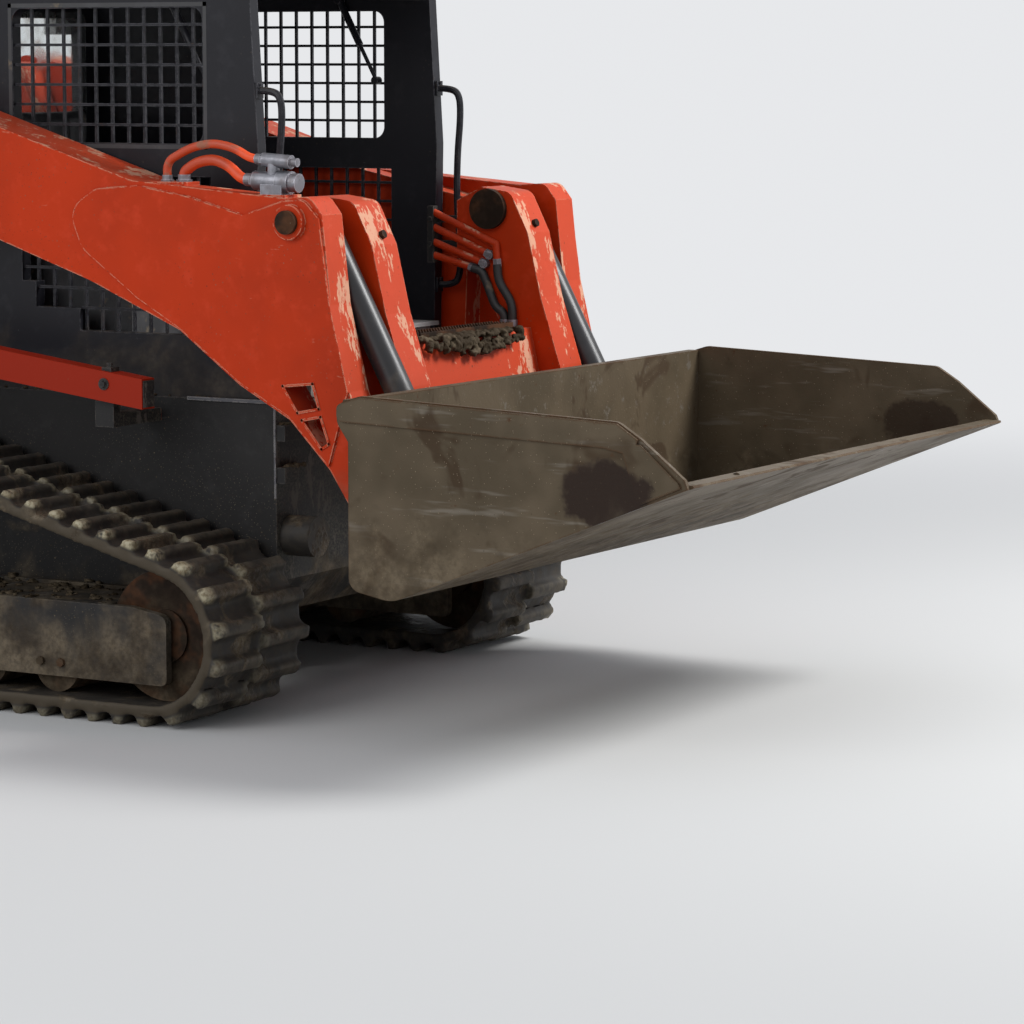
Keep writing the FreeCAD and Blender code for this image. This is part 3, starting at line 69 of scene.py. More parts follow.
class Surface:
    """One procedural material, built up in layers over a base coat."""

    def __init__(self, name, colour, rough, metallic=0.0, grain=0.0):
        self.material = bpy.data.materials.new(name)
        self.material.use_nodes = True
        self.tree = self.material.node_tree
        self.tree.nodes.clear()
        self.shader = self.tree.nodes.new("ShaderNodeBsdfPrincipled")
        out = self.tree.nodes.new("ShaderNodeOutputMaterial")
        self.tree.links.new(self.shader.outputs[0], out.inputs[0])
        coords = self.tree.nodes.new("ShaderNodeTexCoord")
        self.spot = coords.outputs["Object"]
        self.facing = coords.outputs["Normal"]
        self.metallic = metallic
        self.colour = colour
        self.rough = rough
        self.height = grain

    def put(self, socket, value):
        if hasattr(value, "is_linked"):
            self.tree.links.new(value, socket)
        elif isinstance(value, tuple) and len(value) == 3 and socket.type == "RGBA":
            socket.default_value = (*value, 1)
        else:
            socket.default_value = value

    def math(self, kind, a, b=0.0, clamp=False):
        item = self.tree.nodes.new("ShaderNodeMath")
        item.operation = kind
        item.use_clamp = clamp
        self.put(item.inputs[0], a)
        self.put(item.inputs[1], b)
        return item.outputs[0]

    def span(self, value, low, high, start=0.0, end=1.0):
        """A smooth ramp from start, where the value is low, to end, where it is high."""
        item = self.tree.nodes.new("ShaderNodeMapRange")
        item.interpolation_type = "SMOOTHSTEP"
        for index, number in enumerate((value, low, high, start, end)):
            self.put(item.inputs[index], number)
        return item.outputs[0]

    def mix(self, a, b, share):
        colour = isinstance(a, tuple) or isinstance(b, tuple) or getattr(a, "type", "") == "RGBA"
        item = self.tree.nodes.new("ShaderNodeMix")
        item.data_type = "RGBA" if colour else "FLOAT"
        first = 6 if colour else 2    # where the node keeps its colour and its number sockets
        self.put(item.inputs[0], share)
        self.put(item.inputs[first], a)
        self.put(item.inputs[first + 1], b)
        return item.outputs[2 if colour else 0]

    def moved(self, stretch, offset):
        item = self.tree.nodes.new("ShaderNodeMapping")
        self.tree.links.new(self.spot, item.inputs[0])
        item.inputs["Location"].default_value = offset
        item.inputs["Scale"].default_value = stretch
        return item.outputs[0]

    def noise(self, scale, rough, detail=3, stretch=(1, 1, 1), offset=(0, 0, 0), warp=0.0):
        item = self.tree.nodes.new("ShaderNodeTexNoise")
        self.tree.links.new(self.moved(stretch, offset), item.inputs["Vector"])
        item.inputs["Scale"].default_value = scale
        item.inputs["Detail"].default_value = detail
        item.inputs["Roughness"].default_value = rough
        item.inputs["Distortion"].default_value = warp
        return item.outputs["Fac"]

    def cells(self, scale, spread=1.0, offset=(0, 0, 0)):
        item = self.tree.nodes.new("ShaderNodeTexVoronoi")
        self.tree.links.new(self.moved((1, 1, 1), offset), item.inputs["Vector"])
        item.inputs["Scale"].default_value = scale
        item.inputs["Randomness"].default_value = spread
        return item.outputs["Distance"]

    def axis(self, which, source=None):
        item = self.tree.nodes.new("ShaderNodeSeparateXYZ")
        self.tree.links.new(source or self.spot, item.inputs[0])
        return item.outputs["XYZ".index(which)]

    def edges(self, radius=0.006):
        """1 near the edges of hard-edged metal, 0 on the flat."""
        bevel = self.tree.nodes.new("ShaderNodeBevel")
        bevel.samples = 3
        bevel.inputs["Radius"].default_value = radius
        shape = self.tree.nodes.new("ShaderNodeNewGeometry")
        dot = self.tree.nodes.new("ShaderNodeVectorMath")
        dot.operation = "DOT_PRODUCT"
        self.tree.links.new(bevel.outputs[0], dot.inputs[0])
        self.tree.links.new(shape.outputs["True Normal"], dot.inputs[1])
        return self.span(dot.outputs["Value"], EDGE_FLAT, EDGE_SHARP)

    def layer(self, mask, colour=None, rough=None, lift=0.0, metallic=None):
        """Lay another coat where the mask is 1; lift is how far it stands up, in metres."""
        if colour is not None:
            self.colour = self.mix(self.colour, colour, mask)
        if rough is not None:
            self.rough = self.mix(self.rough, rough, mask)
        if metallic is not None:
            self.metallic = self.mix(self.metallic, metallic, mask)
        if lift:
            self.height = self.math("ADD", self.height, self.math("MULTIPLY", mask, lift))

    def finish(self, **fixed):
        """Join the layers to the shader; fixed gives further sockets, with _ for a space."""
        self.put(self.shader.inputs["Base Color"], self.colour)
        self.put(self.shader.inputs["Roughness"], self.rough)
        self.put(self.shader.inputs["Metallic"], self.metallic)
        if hasattr(self.height, "is_linked"):
            bump = self.tree.nodes.new("ShaderNodeBump")
            bump.inputs["Strength"].default_value = 1.0
            bump.inputs["Distance"].default_value = 1.0
            self.put(bump.inputs["Height"], self.height)
            self.tree.links.new(bump.outputs[0], self.shader.inputs["Normal"])
        for name, value in fixed.items():
            self.put(self.shader.inputs[name.replace("_", " ")], value)
        return self.material


MUD_DRY = (0.20, 0.155, 0.10)
MUD_WET = (0.05, 0.034, 0.018)
MUD_DARK = (0.02, 0.013, 0.007)


def mud_colour(s):
    """Wet and dry mud in patches, with darker grains."""
    shade = s.span(s.noise(9, 0.6, offset=(3, 1, 2)), 0.36, 0.66)
    fine = s.span(s.noise(70, 0.6), 0.35, 0.7)
    mixed = s.mix(MUD_WET, MUD_DRY, shade)
    return s.mix(mixed, MUD_DARK, s.math("MULTIPLY", fine, 0.45))


def add_mud(s, low, high, most=1.0, specks=0.5, lift=0.004, floor_share=0.0):
    """Mud that thins out from the height low up to high, with specks above it.

    most is its cover low down, floor_share what is left of its level above high, specks how
    thick the specks lie, and lift how far the lumps stand up, in metres.
    """
    height = s.axis("Z")
    patches = s.noise(5.5, 0.62, warp=0.6, offset=(1, 4, 2))
    level = s.span(height, low, high, 1.0, floor_share)
    cover = s.span(s.math("ADD", patches, s.math("MULTIPLY", level, 0.55)), 0.72, 0.98, 0.0, most)
    spots = s.span(s.cells(55, 1.0, (2, 2, 2)), 0.16, 0.07)
    gather = s.span(s.noise(3.2, 0.5, offset=(7, 3, 1)), 0.42, 0.66)
    spread = s.math("MULTIPLY", s.math("MULTIPLY", spots, gather), specks)
    mask = s.math("MAXIMUM", cover, spread)
    lumps = s.noise(38, 0.65)
    s.layer(mask, mud_colour(s), s.span(lumps, 0.3, 0.7, 0.55, 0.95), metallic=0.0)
    s.height = s.math("ADD", s.height, s.math("MULTIPLY", s.math("MULTIPLY", lumps, cover), lift))


RUST_SPOT = (0.045, 0.02, 0.012)
BARE_STEEL = (0.07, 0.04, 0.025)
DRY_SPLASH = (0.12, 0.11, 0.088)
# where the side rails lie, which get a painted shade: outside this distance from the middle
# plane, below and behind these
RAIL_INSIDE = 0.7135
RAIL_BELOW = 1.100
RAIL_BEHIND = 0.020


def painted(name, colour, rough, wear, edge, mud, most, specks, dust=0.2, highlight_and_wear=0.0,
            splash=0.0, painted_rail_shade=None, gloss=0.4):
    """Enamel on steel: a little uneven, scuffed, chipped along its edges, muddy low down.

    wear is the colour under the enamel and edge how much of it shows along the edges; mud is
    the height where the mud is full and where it ends. highlight_and_wear is how much faces
    turned to the front and up are made paler as a painted highlight, and also turns on rubbing
    and nicks on them; splash is how much dirt lies on front faces, and painted_rail_shade the
    darker colour painted on the side rails as painted shade.
    """
    s = Surface(name, colour, rough)
    # uneven tone and the grain of the enamel
    tone = s.noise(2.3, 0.6)
    deep = tuple(c * 0.80 for c in colour)
    pale = tuple(min(1.0, c * 1.12 + 0.01) for c in colour)
    s.layer(s.span(tone, 0.35, 0.65), deep, rough * 1.15)
    s.layer(s.span(s.noise(14, 0.7, offset=(5, 5, 5)), 0.5, 0.75, 0.0, 0.6), pale)
    s.height = s.math("MULTIPLY", s.noise(300, detail=2, rough=0.5), 0.00012)
    # scuffs and chips on the flat
    streak = s.noise(26, 0.7, stretch=(0.45, 1, 1.5), offset=(1, 7, 3))
    s.layer(s.span(streak, 0.69, 0.76, 0.0, 0.25), wear, 0.55)
    chips = s.math("MULTIPLY", s.span(s.cells(95, 1.0, (5, 1, 3)), 0.13, 0.06),
                   s.span(s.noise(5, 0.6, offset=(6, 6, 1)), 0.5, 0.66))
    s.layer(chips, RUST_SPOT, 0.75)
    # edges worn to the coat below, and the sharpest of them to bare steel
    flakes = s.noise(45, 0.75, offset=(8, 2, 6))
    edges = s.edges()
    chip = s.span(s.math("ADD", s.math("MULTIPLY", edges, 0.32), flakes), 0.76, 0.82, 0.0, edge)
    s.layer(chip, wear, 0.6)
    bare = s.span(s.math("ADD", s.math("MULTIPLY", edges, 0.2), s.noise(28, 0.8)), 0.83, 0.87)
    s.layer(bare, BARE_STEEL, 0.7)
    if highlight_and_wear:
        # painted highlight: faces turned to the front and up, towards the light, are made paler;
        # they are also rubbed and nicked where the load reaches
        open_face = s.math("MAXIMUM", s.axis("Z", s.facing), s.axis("X", s.facing))
        turned_out = s.span(open_face, 0.3, 0.9)
        highlight_colour = tuple(0.9 * c + 0.1 * w for c, w in zip(colour, wear))
        s.layer(s.math("MULTIPLY", turned_out, highlight_and_wear), highlight_colour, rough * 1.4)
        worn_off = s.math("ADD", s.noise(11, 0.6, stretch=(1, 1, 0.35), offset=(3, 8, 1)),
                          s.math("MULTIPLY", s.noise(85, 0.7, stretch=(1, 1, 0.4)), 0.45))
        rubbed = s.math("MULTIPLY", turned_out, s.span(worn_off, 0.80, 0.845, 0.0, 0.8))
        s.layer(rubbed, wear, 0.7)
        nicks = s.span(s.noise(60, 0.8, stretch=(1, 1, 0.5), offset=(9, 2, 2)), 0.68, 0.71)
        s.layer(s.math("MULTIPLY", turned_out, nicks), (0.06, 0.035, 0.02), 0.8)
    if dust:
        # dust that lies on upper faces
        up = s.span(s.axis("Z", s.facing), 0.35, 0.9)
        grime = s.math("MULTIPLY", up, s.span(s.noise(16, 0.65), 0.38, 0.62, 0.0, dust))
        s.layer(grime, MUD_DRY, 0.9)
    # painted shade: the side rails, which sit in shadow, get a darker red
    if painted_rail_shade:
        outside = s.span(s.math("ABSOLUTE", s.axis("Y")), RAIL_INSIDE - 0.0015, RAIL_INSIDE)
        low_down = s.span(s.axis("Z"), RAIL_BELOW, RAIL_BELOW - 0.008)
        behind = s.span(s.axis("X"), RAIL_BEHIND, RAIL_BEHIND - 0.010)
        s.layer(s.math("MULTIPLY", s.math("MULTIPLY", outside, low_down), behind), painted_rail_shade)
    if splash:
        # fine dried splashes on front faces, and grit low down
        front = s.span(s.axis("X", s.facing), 0.5, 0.9)
        drops = s.math("MULTIPLY", s.span(s.noise(150, 0.7, offset=(4, 4, 7)), 0.40, 0.66),
                       s.span(s.noise(7, 0.6, offset=(1, 5, 7)), 0.36, 0.62, 0.25, 1.0))
        s.layer(s.math("MULTIPLY", s.math("MULTIPLY", front, drops), splash), DRY_SPLASH, 0.85)
        grit = s.math("MULTIPLY", s.span(s.cells(120, 1.0, (8, 3, 1)), 0.2, 0.1),
                      s.span(s.axis("Z"), 1.0, 0.55, 0.0, splash))
        s.layer(s.math("MULTIPLY", grit, s.span(tone, 0.36, 0.6)), (0.15, 0.125, 0.09), 0.9)
    add_mud(s, *mud, most=most, specks=specks)
    return s.finish(Specular_IOR_Level=gloss)


PAINTS = (
    # slot, name, colour, roughness, colour under it, edge wear, mud heights, most mud, specks
    ("arm_paint", "arm_enamel", (0.53, 0.036, 0.003), 0.4, (0.66, 0.38, 0.25), 1.0,
     (0.35, 1.0), 0.45, 0.6),
    ("dark_paint", "chassis_enamel", (0.014, 0.013, 0.013), 0.5, (0.12, 0.105, 0.09), 0.6,
     (0.0, 0.75), 0.75, 1.0),
    ("lip_paint", "worn_edge_enamel", (0.10, 0.10, 0.11), 0.5, (0.3, 0.28, 0.26), 0.9,
     (0.3, 0.9), 0.5, 0.6),
    ("cab_paint", "cab_enamel", (0.009, 0.009, 0.013), 0.36, (0.11, 0.11, 0.12), 0.6,
     (0.7, 1.3), 0.2, 0.35),
    ("sill_plate", "sill_enamel", (0.36, 0.35, 0.34), 0.5, (0.6, 0.58, 0.55), 0.6,
     (0.8, 1.4), 0.6, 0.6),
    ("barrel_paint", "cylinder_enamel", (0.018, 0.018, 0.02), 0.35, (0.2, 0.18, 0.16), 0.6,
     (0.5, 1.3), 0.5, 0.6),
)
PAINT_EXTRAS = {
    "arm_paint": {"dust": 0.1, "highlight_and_wear": 0.6, "painted_rail_shade": (0.30, 0.017, 0.003), "gloss": 0.15},
    "dark_paint": {"highlight_and_wear": 0.2, "splash": 0.8, "gloss": 0.3},
    "cab_paint": {"gloss": 0.25},
}


def make_materials():
    made = {slot: painted(*values, **PAINT_EXTRAS.get(slot, {})) for slot, *values in PAINTS}
    made["track_rubber"] = rubber()
    # painted shade: the cast steel is made darker than its own colour, for the shaded insides of
    # the wheels
    made["worn_steel"] = steel("cast_steel_shade_dark", (0.018, 0.011, 0.007), 0.7, (0.0, 0.6), 0.45,
                               rusty=0.8, gloss=0.15)
    made["bucket_steel"] = bucket_steel()
    made["rod_chrome"] = chrome()
    made["coupler_steel"] = steel("plated_steel", (0.19, 0.19, 0.21), 0.38, (0.6, 1.3), 0.15, 0.7)
    made["seat_vinyl"] = vinyl()
    made["cab_plastic"] = plastic("cab_plastic_grain", (0.03, 0.03, 0.032))
    made["lamp_lens"] = lens("lamp_red", (0.45, 0.012, 0.01))
    made["lamp_clear"] = lens("lamp_clear_lens", (0.30, 0.30, 0.29))
    made["window_glass"] = glass()
    made["hose_orange"] = plastic("hose_orange_rubber", (0.5, 0.05, 0.008), 0.4)
    made["hose_black"] = plastic("hose_black_rubber", (0.018, 0.017, 0.017), 0.5)
    made["mud"] = mud()
    return made


# distances from the machine's middle plane
BELT_OUTSIDE = 0.976
BELT_MIDDLE = 0.757


def rubber():
    """Belt rubber: dark between the lugs, worn on them, cream mud on the ends of the lugs.

    The stored lift is about 0.03 at the belt's outer face and 0.06 at the lugs' crests.
    """
    s = Surface("track_rubber_muddy", (0.024, 0.021, 0.018), 0.55)
    stored = s.tree.nodes.new("ShaderNodeAttribute")
    stored.attribute_name = "lift"
    lift = stored.outputs["Fac"]
    s.layer(s.span(s.noise(24, 0.7), 0.4, 0.7), (0.046, 0.038, 0.029), 0.7)
    s.height = s.math("MULTIPLY", s.noise(120, 0.6), 0.0006)
    crest = s.span(lift, 0.042, 0.058)
    worn = s.math("MULTIPLY", crest, s.span(s.noise(16, 0.7), 0.36, 0.62, 0.0, 0.8))
    s.layer(worn, (0.085, 0.07, 0.05), 0.6)
    fine = s.span(s.noise(75, 0.6, offset=(1, 2, 3)), 0.4, 0.62)
    across = s.math("ABSOLUTE", s.axis("Y"))
    edge_face = s.math("MULTIPLY", s.span(across, BELT_OUTSIDE - 0.004, BELT_OUTSIDE + 0.002),
                       s.span(lift, 0.036, 0.028))
    s.layer(edge_face, (0.058, 0.044, 0.027), 0.6)
    cover = s.span(s.noise(9, 0.65, warp=0.5), 0.5, 0.66, 0.0, 0.8)
    s.layer(cover, mud_colour(s), s.span(fine, 0.3, 0.7, 0.4, 0.9))
    off_middle = s.math("ABSOLUTE", s.math("SUBTRACT", across, BELT_MIDDLE))
    ends = s.math("MAXIMUM", s.span(across, 0.925, 0.962),
                  s.math("MULTIPLY", s.span(off_middle, 0.03, 0.012), 0.45))
    high = s.span(s.axis("Z"), 0.16, 0.42, 0.35, 1.0)
    broken = s.span(s.noise(17, 0.7, offset=(3, 0, 8)), 0.36, 0.5)
    cream = s.math("MULTIPLY", s.math("MULTIPLY", ends, s.span(lift, 0.033, 0.044)),
                   s.math("MULTIPLY", high, broken))
    shade = s.mix((0.40, 0.355, 0.24), (0.17, 0.13, 0.07), s.math("MULTIPLY", fine, 0.8))
    s.layer(cream, shade, 0.35, 0.002)
    s.height = s.math("ADD", s.height, s.math("MULTIPLY", s.math("MULTIPLY", fine, cover), 0.003))
    return s.finish(Specular_IOR_Level=0.3)


def steel(name, colour, rough, mud, most, metallic=0.35, rusty=0.3, gloss=0.5):
    """Plain steel with rust in patches, rubbed pale along its edges."""
    s = Surface(name, colour, rough, metallic)
    s.layer(s.span(s.noise(18, 0.7), 0.4, 0.7), tuple(c * 1.6 for c in colour), rough * 0.8)
    s.layer(s.span(s.noise(9, 0.6, offset=(4, 4, 1)), 0.46, 0.64, 0.0, rusty),
            (0.10, 0.042, 0.019), 0.85, metallic=0.0)
    s.height = s.math("MULTIPLY", s.noise(180, 0.6), 0.0005)
    s.layer(s.span(s.edges(0.004), 0.3, 0.9, 0.0, 0.6), tuple(min(1, c * 3) for c in colour), 0.4)
    add_mud(s, *mud, most=most, specks=0.5)
    return s.finish(Specular_IOR_Level=gloss)


# the oily stain on the bucket's sides
STAIN_X = 1.60
STAIN_Z = 0.735


def bucket_steel():
    """Brown worn steel, scoured along the bucket's length, with one dark stain on each side."""
    s = Surface("bucket_steel_muddy", (0.118, 0.089, 0.056), 0.5, 0.12)
    s.layer(s.span(s.noise(3, 0.65), 0.38, 0.64), (0.080, 0.060, 0.036), 0.6)
    scour = s.noise(22, 0.75, stretch=(0.12, 1, 1), offset=(2, 0, 5))
    s.layer(s.span(scour, 0.58, 0.72, 0.0, 0.5), (0.24, 0.215, 0.18), 0.4, metallic=0.6)
    s.layer(s.span(s.noise(4.2, 0.7, offset=(9, 2, 3), warp=0.8), 0.55, 0.66, 0.0, 0.85),
            (0.05, 0.03, 0.015), 0.75, metallic=0.0)
    s.height = s.math("MULTIPLY", s.noise(90, 0.65), 0.0006)
    rust = s.span(s.math("ADD", s.math("MULTIPLY", s.edges(0.008), 0.3), s.noise(20, 0.75)),
                  0.66, 0.78)
    s.layer(rust, (0.085, 0.042, 0.02), 0.85)
    s.layer(s.span(s.cells(75, 1.0, (1, 6, 2)), 0.13, 0.07, 0.0, 0.8), (0.28, 0.22, 0.15), 0.9,
            0.001)
    along = s.math("SUBTRACT", s.axis("X"), STAIN_X)
    above = s.math("MULTIPLY", s.math("SUBTRACT", s.axis("Z"), STAIN_Z), 1.5)
    reach = s.math("ADD", s.math("POWER", along, 2.0), s.math("POWER", above, 2.0))
    ragged = s.math("ADD", reach, s.math("MULTIPLY", s.noise(13, 0.7, offset=(4, 1, 9)), 0.028))
    side_face = s.span(s.math("ABSOLUTE", s.axis("Y")), 0.985, 0.998)
    stain = s.math("MULTIPLY", s.span(ragged, 0.034, 0.026), side_face)
    s.layer(stain, (0.022, 0.011, 0.006), 0.35, metallic=0.0)
    add_mud(s, 0.42, 0.80, most=0.55, specks=0.6, lift=0.005, floor_share=0.15)
    return s.finish(Specular_IOR_Level=0.2)


def chrome():
    s = Surface("hard_chrome", (0.62, 0.62, 0.63), 0.12, 1.0)
    s.layer(s.span(s.noise(40, 0.6, stretch=(1, 1, 0.2)), 0.5, 0.7, 0.0, 0.5),
            (0.4, 0.38, 0.35), 0.35)
    s.layer(s.span(s.cells(60), 0.2, 0.1, 0.0, 0.6), (0.12, 0.085, 0.05), 0.8, metallic=0.0)
    return s.finish()


def vinyl():
    s = Surface("seat_vinyl_grain", (0.022, 0.022, 0.024), 0.5)
    s.layer(s.span(s.noise(6, 0.6), 0.45, 0.7), (0.05, 0.045, 0.04), 0.7)
    s.height = s.math("MULTIPLY", s.cells(420), 0.0006)
    s.layer(s.span(s.noise(12, 0.7, offset=(3, 3, 3)), 0.6, 0.72, 0.0, 0.5), MUD_DRY, 0.9)
    return s.finish()


def plastic(name, colour, rough=0.55):
    s = Surface(name, colour, rough)
    s.layer(s.span(s.noise(10, 0.6), 0.45, 0.7), tuple(c * 1.7 for c in colour), rough * 1.2)
    s.height = s.math("MULTIPLY", s.noise(500, detail=2, rough=0.5), 0.0003)
    s.layer(s.span(s.noise(14, 0.7, offset=(6, 1, 3)), 0.58, 0.7, 0.0, 0.6), MUD_DRY, 0.9)
    return s.finish()


def lens(name, colour):
    s = Surface(name, colour, 0.15)
    s.height = s.math("MULTIPLY", s.cells(140, 0.0), 0.001)
    s.layer(s.span(s.noise(25, 0.7), 0.58, 0.7, 0.0, 0.7), MUD_DRY, 0.9)
    return s.finish()


def glass():
    s = Surface("window_glass_dusty", (0.86, 0.9, 0.9), 0.03)
    s.layer(s.span(s.noise(7, 0.65), 0.5, 0.72, 0.0, 0.6), (0.4, 0.36, 0.3), 0.6)
    return s.finish(Transmission_Weight=0.92, IOR=1.45)


def mud():
    s = Surface("mud_caked", MUD_WET, 0.8)
    s.colour = s.mix(mud_colour(s), MUD_DARK, 0.35)
    s.height = s.math("MULTIPLY", s.noise(60, 0.65), 0.004)
    return s.finish(Specular_IOR_Level=0.15)


materials = make_materials()
node_slots = {entry["node"]: entry["material_slot"] for entry in frame["record"]["subparts"]}


def dress_nodes():
    """Give each node of the frame the finish that its record names."""
    for name, item in nodes.items():
        item.data.materials.clear()
        item.data.materials.append(materials[node_slots[name]])


dress_nodes()

# Pieces that the CAD leaves to the looks


def linked(name, data):
    item = bpy.data.objects.new(name, data)
    scene.collection.objects.link(item)
    return item


def applied(item):
    """A new mesh of the object as its modifiers show it."""
    graph = bpy.context.evaluated_depsgraph_get()
    return bpy.data.meshes.new_from_object(item.evaluated_get(graph))


def add_piece(name, mesh, body, slot, replaced=(), smooth=False):
    """Link a mesh, give it its finish, and let it ride on its body."""
    item = linked(name, mesh)
    mesh.materials.clear()
    mesh.materials.append(materials[slot])
    for face in mesh.polygons:
        face.use_smooth = smooth
    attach(item, body)
    if replaced:
        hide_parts(*replaced)
    return item


def turned(normal):
    """The turn that stands an upright thing along the normal."""
    return Vector(normal).to_track_quat("Z", "Y").to_matrix().to_4x4()


class Build:
    """Collects simple solids into one mesh."""

    def __init__(self):
        self.bm = bmesh.new()

    def prism(self, place, normal, radius, height, sides=6, tip=None, turn=0.0):
        """A bar, cone or disc that stands on place along the normal."""
        spot = (Matrix.Translation(place) @ turned(normal) @ Matrix.Rotation(turn, 4, "Z")
                @ Matrix.Translation((0, 0, height / 2)))
        bmesh.ops.create_cone(self.bm, cap_ends=True, segments=sides, radius1=radius,
                              radius2=radius if tip is None else tip, depth=height, matrix=spot)

    def box(self, corner, opposite):
        """A box between two opposite corners, given in either order."""
        size = [abs(b - a) for a, b in zip(corner, opposite)]
        middle = (Vector(corner) + Vector(opposite)) / 2
        bmesh.ops.create_cube(self.bm, size=1.0,
                              matrix=Matrix.Translation(middle) @ Matrix.Diagonal((*size, 1)))

    def strip(self, start, end, width, y0, y1):
        """A flat bar from start to end in the plane of X and Z, between y0 and y1."""
        run = Vector((end[0] - start[0], 0, end[1] - start[1]))
        middle = Vector(((start[0] + end[0]) / 2, (y0 + y1) / 2, (start[1] + end[1]) / 2))
        turn = Matrix.Rotation(-math.atan2(run.z, run.x), 4, "Y")
        size = Matrix.Diagonal((run.length + width, abs(y1 - y0), width, 1))
        bmesh.ops.create_cube(self.bm, size=1.0, matrix=Matrix.Translation(middle) @ turn @ size)

    def lump(self, place, radius, rng, flat=0.6):
        """A ragged clod, squashed in height to the share flat."""
        squash = Matrix.Diagonal((1, 1, flat, 1))
        spin = Matrix.Rotation(rng.uniform(0, 6.28), 4, "Z")
        made = bmesh.ops.create_icosphere(self.bm, subdivisions=2, radius=radius,
                                          matrix=Matrix.Translation(place) @ spin @ squash)
        for vertex in made["verts"]:
            vertex.co += Vector((rng.uniform(-1, 1), rng.uniform(-1, 1),
                                 rng.uniform(-1, 1))) * radius * 0.3

    def mesh(self, name):
        made = bpy.data.meshes.new(name)
        self.bm.normal_update()
        self.bm.to_mesh(made)
        self.bm.free()
        return made


def tube(name, points, radius):
    """The mesh of a round tube that follows the points smoothly."""
    data = bpy.data.curves.new(name, "CURVE")
    data.dimensions = "3D"
    data.bevel_depth = radius
    data.bevel_resolution = 3
    data.resolution_u = 10
    data.use_fill_caps = True
    line = data.splines.new("NURBS")
    line.points.add(len(points) - 1)
    for spot, point in zip(line.points, points):
        spot.co = (*point, 1)
    line.order_u = 3
    line.use_endpoint_u = True
    curve = linked(name, data)
    mesh = bpy.data.meshes.new_from_object(curve)
    bpy.data.objects.remove(curve)
    return mesh


def joined(meshes, name):
    """One mesh of several."""
    made = bmesh.new()
    for mesh in meshes:
        made.from_mesh(mesh)
    out = bpy.data.meshes.new(name)
    made.to_mesh(out)
    made.free()
    return out


def rounded(name, mesh, voxel, bulge, scale):
    """The mesh run together into one lumpy skin with rounded edges."""
    item = linked(name, mesh)
    change = item.modifiers.new("round", "REMESH")
    change.mode = "VOXEL"
    change.voxel_size = voxel
    noise = bpy.data.textures.new(name + "_lumps", "CLOUDS")
    noise.noise_scale = scale
    noise.noise_depth = 2
    push = item.modifiers.new("lumps", "DISPLACE")
    push.texture = noise
    push.texture_coords = "GLOBAL"
    push.strength = bulge
    push.mid_level = 0.5
    done = applied(item)
    bpy.data.objects.remove(item)
    return done


WHEELS = (
    # x, z and radius of the belt's inner face: front idler, drive sprocket, rear idler
    (0.154, 0.245, 0.185),
    (-1.250, 0.560, 0.250),
    (-1.470, 0.190, 0.130),
)
BELT_VOXEL = 0.0084
OFF_GROUND = 0.0005


def store_lift(mesh):
    """Keep with each point how far it stands off the belt's inner face, for the finish."""
    angles = np.linspace(0, 2 * math.pi, 180, endpoint=False)
    ways = np.stack((np.cos(angles), np.sin(angles)))
    reach = np.max([x * ways[0] + z * ways[1] + radius for x, z, radius in WHEELS], axis=0)
    spots = np.empty(len(mesh.vertices) * 3)
    mesh.vertices.foreach_get("co", spots)
    lift = np.max(spots.reshape(-1, 3)[:, (0, 2)] @ ways - reach, axis=1)
    stored = mesh.attributes.new("lift", "FLOAT", "POINT")
    stored.data.foreach_set("value", lift.astype(np.float32))


def make_tracks():
    """The belts with the edges of their lugs worn round and mud between them."""
    for word, _ in SIDES:
        name = "track_" + word
        belt = rounded(name, nodes[name].data.copy(), BELT_VOXEL, bulge=0.0045, scale=0.03)
        for vertex in belt.vertices:
            vertex.co.z = max(vertex.co.z, OFF_GROUND)
        store_lift(belt)
        add_piece("track_muddy_" + word, belt, "chassis", "track_rubber", (name,), smooth=True)


# the bolts on the track frames, at both sides of each roller
ROLLERS = (-1.21, -0.96, -0.71, -0.46, -0.21)
ROLLER_BOLT = {"off": 0.035, "y": 0.93, "z": 0.150}
BOLT_RINGS = (
    # centre x and z, y, ring radius, count, bolt radius, height, turn per bolt
    (-1.25, 0.56, 0.83, 0.078, 8, 0.011, 0.009, 1),
    (-1.41, 1.73, 0.72, 0.037, 6, 0.008, 0.006, 0),
)
PILLAR_BOLTS = {"x": 0.2075, "y": 0.485, "z": (0.95, 1.02)}
ROOF_BOLTS = {"x": (-0.95, -0.6, -0.25, 0.08), "y": 0.44, "z": 2.14}
EDGE_BOLTS = {"count": 9, "first": -0.88, "pitch": 0.22, "x": 1.733, "z": 0.743}
EDGE_NORMAL = (-0.37, 0, 0.929)


